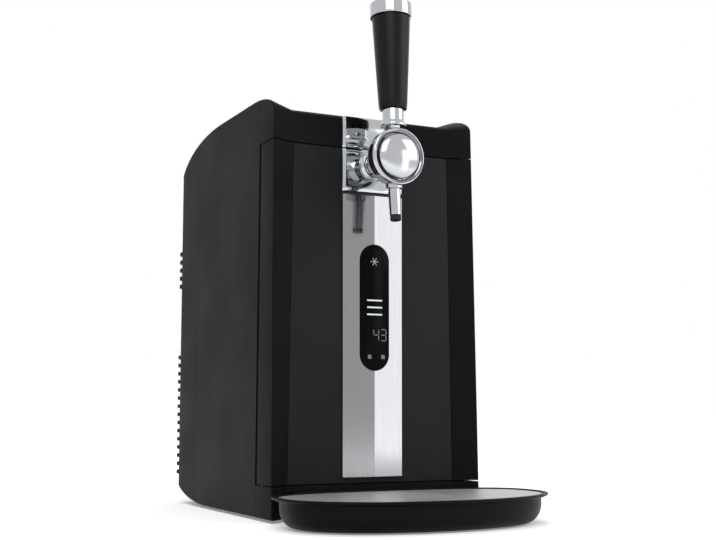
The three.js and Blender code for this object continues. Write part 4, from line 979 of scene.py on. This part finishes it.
def make_tap():
    def bore():
        return rod("y", (0.0, TAP[1], TAP[2]), BACK, BORE_RADIUS)

    shell = reversed(quarter((0, 0), WAIST, CROWN_DEPTH, 0, steps=2 * FINE))
    crown = [(r, h) for r, h in shell if r > CROWN_END]
    rim = fillet(RIM, RIM_EDGE)
    body = lathe([*STEM, *crown, RIM[0], *rim[1:], (0, RIM[-1][1])], "y", TAP, 2 * AROUND)
    boss = rod("z", (0.0, TAP[1], BOSS_LOW), WAIST, BOSS_RADIUS, edge=RIM_EDGE)
    cavity = rod("x", (-CAVITY_HALF, TAP[1], TAP[2]), 2 * CAVITY_HALF, CAVITY_RADIUS)
    body = cut(join(body, boss), cavity, blade_slot(), bore())
    body = piece(body, "tap_body_shown", "door", "chrome", FINISH["chrome"], "tap_body")
    # The rim's front faces and its groove take the darker chrome: painted shade
    body.data.materials.append(FINISH["rim"])
    hub = TO_PART @ Vector(TAP)
    for face in body.data.polygons:
        apart = face.center - hub
        if RIM_SHADE_INNER < math.hypot(apart.x, apart.z) < RIM_SHADE_OUTER and apart.y < RIM_SHADE_DEPTH:
            face.material_index = 1

    rosette = lathe(fillet(ROSETTE, ROSETTE_EDGE), "y", (0.0, 0.0, TAP[2]))
    piece(rosette, "tap_rosette_shown", "door", "chrome", FINISH["chrome"], "tap_rosette")
    shank = rod("y", (0.0, SHANK_FRONT, TAP[2]), SHANK_LENGTH, SHANK_RADIUS, steps=AROUND, edge=SHANK_EDGE)
    piece(cut(shank, bore()), "tap_shank_shown", "door", "chrome", FINISH["chrome"], "tap_shank")

    back, radius = MEDALLION_BACK, MEDALLION_RADIUS
    arch = [(r, back - MEDALLION_EDGE - h) for r, h in quarter((0, 0), radius, MEDALLION_DOME, 0)]
    medallion = lathe([(0, back), (radius - FIT, back), (radius, back - FIT), *arch], "y", TAP)
    piece(medallion, "tap_medallion_shown", "door", "steel", FINISH["medallion"], "tap_medallion")
    make_spout()


def blade_slot():
    """Room in the tap's body for the lever's blade over all of its travel."""
    half, margin = BLADE_SLOT_HALF, BLADE_MARGIN
    reach = BODY_REACH + OVERRUN
    first = math.radians(BLADE_LEAN + LEVER_LEAN)
    last = first - math.radians(LEVER_TRAVEL)

    def place(angle, radius, side):
        return (TAP[1] + radius * math.sin(angle) + side * math.cos(angle),
                TAP[2] + radius * math.cos(angle) - side * math.sin(angle))

    fan = [place(first, 0, margin), place(first, reach, margin),
           place(mix(first, last, 0.5), reach * FAN_BULGE, 0),
           place(last, reach, -margin), place(last, 0, -margin)]
    return prism("x", fan, -half, half)


SPOUT_TOP, SPOUT_END = 344.8, 317.0
SPOUT_RADIUS, SPOUT_END_RADIUS, SPOUT_BORE = 6.6, 6.0, 4.2
SPOUT_LEAN = 6.2
SPOUT_SINK = 2.0
SPOUT_EDGE = 0.6
SPOUT_BEYOND = 20
TIP_LENGTH, TIP_GAP = 5.5, 0.1
ORIGIN = (0, 0, 0)


def make_spout():
    top, beyond = SPOUT_TOP, SPOUT_BEYOND
    lean = math.radians(SPOUT_LEAN)
    length = (top - SPOUT_END) / math.cos(lean)
    move = Matrix.Translation((0.0, TAP[1], top)) @ Matrix.Rotation(-lean, 4, "X")

    def spun(profile):
        return turned(lathe(fillet(profile, SPOUT_EDGE), "z", ORIGIN, AROUND), move)

    tube = spun([(0, -length), (SPOUT_END_RADIUS, -length), (SPOUT_RADIUS, SPOUT_SINK), (0, SPOUT_SINK)])
    above = block((-beyond, beyond), (TAP[1] - beyond, TAP[1] + beyond), (top, BODY_TOP))
    hole = turned(rod("z", (0, 0, -length - beyond), length + 2 * beyond, SPOUT_BORE), move)
    tube = cut(tube, above, copied(hole))
    piece(tube, "spout_shown", "door", "chrome", FINISH["chrome"], "spout")
    radius, tip_low, tip_high = SPOUT_END_RADIUS - FIT, -length - TIP_LENGTH, -length - TIP_GAP
    tip = cut(spun([(0, tip_low), (radius, tip_low), (radius, tip_high), (0, tip_high)]), hole)
    piece(tip, "spout_tip_shown", "door", "rubber", FINISH["rubber"], "spout_tip")


# Lever, made upright about its pivot and then leant
HUB_HALF, HUB_RADIUS = 6.0, 7.0
BLADE_HALF, BLADE_THICK, BLADE_LENGTH, BLADE_EDGE = 3, 2.5, 36.6, 0.8
NECK = ((0, 32.6), (13.1, 32.6), (13.4, 32.9), (13.4, 34.6), (11.3, 38.6, 2.0), (11.3, 50.7), (0, 50.7))
LEVER_EDGE = 0.5
NECK_HOLE_LOW, NECK_HOLE_LENGTH = 39.0, 20.0
ROD_HOLE = 5.3
PIVOT_HOLE_HALF, PIVOT_HOLE = 12, 2.8
GRIP_LOW, GRIP_TOP = 51.0, 149.0
GRIP_EDGE = 0.6
GRIP_FOOT, GRIP_SHOULDER = 13.6, 19.4
GRIP_STEPS = 24
GRIP_SIDES = ((14.2, GRIP_LOW), (15.0, 55.0), (17.5, (GRIP_LOW + GRIP_TOP) / 2), (20.0, GRIP_TOP - FIT))
GRIP_HOLE_LOW, GRIP_HOLE_LENGTH = 40.0, 96.4
CAP_RADIUS = 21.9
CAP_LENGTH = 15.6
CAP_EDGE, CAP_ROUND = 1.5, 1.2


def make_lever():
    lean = Matrix.Translation(TAP) @ Matrix.Rotation(math.radians(-LEVER_LEAN), 4, "X")
    hub = rod("x", (-HUB_HALF, 0, 0), 2 * HUB_HALF, HUB_RADIUS, edge=LEVER_EDGE)
    blade = block((-BLADE_HALF, BLADE_HALF), (-BLADE_THICK, BLADE_THICK), (0, BLADE_LENGTH))
    blade = turned(bevel(blade, BLADE_EDGE), Matrix.Rotation(math.radians(-BLADE_LEAN), 4, "X"))
    neck = lathe(fillet(NECK, LEVER_EDGE), "z")
    rod_hole = rod("z", (0, 0, NECK_HOLE_LOW), NECK_HOLE_LENGTH, ROD_HOLE)
    pivot_hole = rod("x", (-PIVOT_HOLE_HALF, 0, 0), 2 * PIVOT_HOLE_HALF, PIVOT_HOLE)
    neck = cut(join(hub, blade, neck), rod_hole, pivot_hole)
    piece(turned(neck, lean), "lever_neck_shown", "lever", "chrome", FINISH["chrome"], "lever_neck")

    top = GRIP_TOP - FIT
    levels = [mix(GRIP_LOW + GRIP_EDGE, top - GRIP_EDGE, k / GRIP_STEPS) for k in range(GRIP_STEPS + 1)]
    swell = [(grip_radius(z), z) for z in levels]
    profile = [(0, GRIP_LOW), (GRIP_FOOT, GRIP_LOW), *swell, (GRIP_SHOULDER, top), (0, top)]
    grip = lathe(profile, "z", ORIGIN, 2 * AROUND)
    grip = cut(grip, rod("z", (0, 0, GRIP_HOLE_LOW), GRIP_HOLE_LENGTH, ROD_HOLE))
    piece(turned(grip, lean), "lever_grip_shown", "lever", "grip", FINISH["grip"], "lever_grip")

    high_edge = GRIP_TOP + CAP_LENGTH
    outline = [(0, GRIP_TOP), (CAP_RADIUS, GRIP_TOP, LEVER_EDGE),
               (CAP_RADIUS, high_edge - CAP_EDGE, CAP_ROUND),
               (CAP_RADIUS - CAP_EDGE, high_edge, CAP_ROUND), (0, high_edge)]
    cap = lathe(fillet(outline, LEVER_EDGE), "z", ORIGIN, 2 * AROUND)
    piece(turned(cap, lean), "grip_cap_shown", "lever", "chrome", FINISH["chrome"], "grip_cap")


def grip_radius(z):
    for (r0, z0), (r1, z1) in zip(GRIP_SIDES, GRIP_SIDES[1:]):
        if z <= z1:
            return mix(r0, r1, (z - z0) / (z1 - z0))
    return GRIP_SIDES[-1][0]


# Nodes of the frame that show their own form

CARRIED = {
    "inner": ("chamber_frame", "base_pan", "door_liner"),
    "housing_black": ("fan_frame", "air_pump", "air_nozzle", "power_inlet", "switch_housing", "fan_rotor"),
    "steel": ("latch_plate", "power_supply", "hinge_pin_lower", "hinge_pin_upper", "door_magnet",
              "tap_pivot_pin", "lever_rod"),
    "aluminium": ("chamber_liner", "cold_plate", "heat_sink"),
    "foam": ("insulation_body", "door_insulation"),
    "ceramic": ("thermoelectric_module", "air_tube", "hinge_washer"),
    "rubber": ("foot_front_left", "foot_front_right", "foot_rear_left", "foot_rear_right", "keg_seat",
               "door_gasket", "valve_plunger"),
    "gloss": ("switch_rocker",),
    "board": ("display_board",),
}
# Width of the rounding of their edges, in metres
ROUNDED = {
    "door_gasket": 0.0008, "keg_seat": 0.0008, "door_liner": 0.0008, "chamber_frame": 0.0006,
    "foot_front_left": 0.0010, "foot_front_right": 0.0010,
    "foot_rear_left": 0.0010, "foot_rear_right": 0.0010,
    "power_inlet": 0.0005, "switch_housing": 0.0005, "switch_rocker": 0.0004, "latch_plate": 0.0004,
    "fan_frame": 0.0004,
}
NODE_SEGMENTS = 2
NODE_ANGLE = 50.0


def finish_nodes():
    for key, names in CARRIED.items():
        for name in names:
            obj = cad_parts[name]
            obj.data.materials.clear()
            obj.data.materials.append(FINISH[key])
            if name in ROUNDED:
                rounding(obj, ROUNDED[name], NODE_SEGMENTS, NODE_ANGLE)


# Studio: soft lamps in plain white surroundings, which metal and glass show as well
AMBIENT = 0.5
FLOOR_HALF = 12.0
FLOOR_GLOW, FAR_GLOW = 0.22, 0.65
GLOW_START, GLOW_END = 0.4, 2.0


def make_world():
    world = bpy.data.worlds.new("studio")
    bpy.context.scene.world = world
    world.use_nodes = True
    tree = world.node_tree
    tree.nodes.clear()
    shown = node(tree, "ShaderNodeMix", {"data_type": "FLOAT"})
    tree.links.new(background_rays(tree), shown.inputs[0])
    shown.inputs[2].default_value = AMBIENT
    shown.inputs[3].default_value = 1.0
    light = node(tree, "ShaderNodeBackground")
    light.inputs["Color"].default_value = (1.0, 1.0, 1.0, 1.0)
    tree.links.new(shown.outputs[0], light.inputs["Strength"])
    out = node(tree, "ShaderNodeOutputWorld")
    tree.links.new(light.outputs[0], out.inputs["Surface"])


def background_rays(tree):
    """1 for the camera's own rays and for those that metal and glass send on, else 0."""
    path = node(tree, "ShaderNodeLightPath").outputs
    shown = path["Is Camera Ray"]
    for name in ("Is Glossy Ray", "Is Transmission Ray"):
        either = node(tree, "ShaderNodeMath", {"operation": "MAXIMUM"})
        tree.links.new(shown, either.inputs[0])
        tree.links.new(path[name], either.inputs[1])
        shown = either.outputs[0]
    return shown


def make_lamp(name, place, target, size, watts, mirrored=False):
    data = bpy.data.lights.new(name, "AREA")
    data.shape = "RECTANGLE"
    data.size, data.size_y = size
    data.energy = watts
    lamp = bpy.data.objects.new(name, data)
    lamp.location = place
    lamp.rotation_euler = (Vector(target) - Vector(place)).to_track_quat("-Z", "Y").to_euler()
    lamp.visible_glossy = mirrored
    bpy.context.scene.collection.objects.link(lamp)


def make_floor():
    mesh = bpy.data.meshes.new("floor")
    half = FLOOR_HALF
    corners = [(-half, -half, 0), (half, -half, 0), (half, half, 0), (-half, half, 0)]
    mesh.from_pydata(corners, [], [(0, 1, 2, 3)])
    floor = bpy.data.objects.new("floor", mesh)
    bpy.context.scene.collection.objects.link(floor)
    finish = Finish("floor_paint", "f4f4f4", 0.9, specular=0.0)
    tree = finish.tree
    seen = background_rays(tree)
    place = node(tree, "ShaderNodeTexCoord").outputs["Object"]
    away = node(tree, "ShaderNodeVectorMath", {"operation": "LENGTH"})
    tree.links.new(place, away.inputs[0])
    level = finish.spread(away.outputs["Value"], FLOOR_GLOW, FAR_GLOW, GLOW_START, GLOW_END)
    glow = node(tree, "ShaderNodeMath", {"operation": "MULTIPLY"})
    tree.links.new(seen, glow.inputs[0])
    tree.links.new(level, glow.inputs[1])
    tree.links.new(glow.outputs[0], finish.shader.inputs["Emission Strength"])
    finish.set("Emission Color", (1.0, 1.0, 1.0, 1.0))
    mesh.materials.append(finish.material)


# The camera of the photograph, in metres, millimetres of focal length, pixels and degrees
SENSOR = 36.0
FOCAL_LENGTH = 59.35
SHIFT_PIXELS = 98.0
CAMERA_PLACE = (-0.5726, -1.1910, 0.1161)
CAMERA_TILT, CAMERA_TURN = 92.0, -26.2


def make_camera():
    data = bpy.data.cameras.new("camera")
    data.sensor_width = SENSOR
    data.lens = FOCAL_LENGTH
    data.shift_y = SHIFT_PIXELS / PIXELS_WIDE
    camera = bpy.data.objects.new("camera", data)
    camera.location = CAMERA_PLACE
    camera.rotation_euler = (math.radians(CAMERA_TILT), 0.0, math.radians(CAMERA_TURN))
    bpy.context.scene.collection.objects.link(camera)
    bpy.context.scene.camera = camera
    bpy.context.scene.view_settings.view_transform = "Standard"


make_casing()
make_tray()
make_strip()
make_tap()
make_lever()
finish_nodes()
make_world()
make_floor()
make_lamp("key", (-1.1, -1.7, 1.9), (0.0, 0.0, 0.25), (1.6, 1.6), 36.0, mirrored=True)
make_lamp("fill", (1.8, -1.2, 1.3), (0.0, 0.0, 0.25), (1.4, 1.4), 16.0, mirrored=True)
make_lamp("top", (0.0, 0.5, 2.4), (0.0, 0.0, 0.2), (2.0, 2.0), 26.0)
make_lamp("strip_light", (0.85, -1.36, 0.42), (0.0, -0.06, 0.2), (0.3, 0.9), 1.9, mirrored=True)
make_camera()
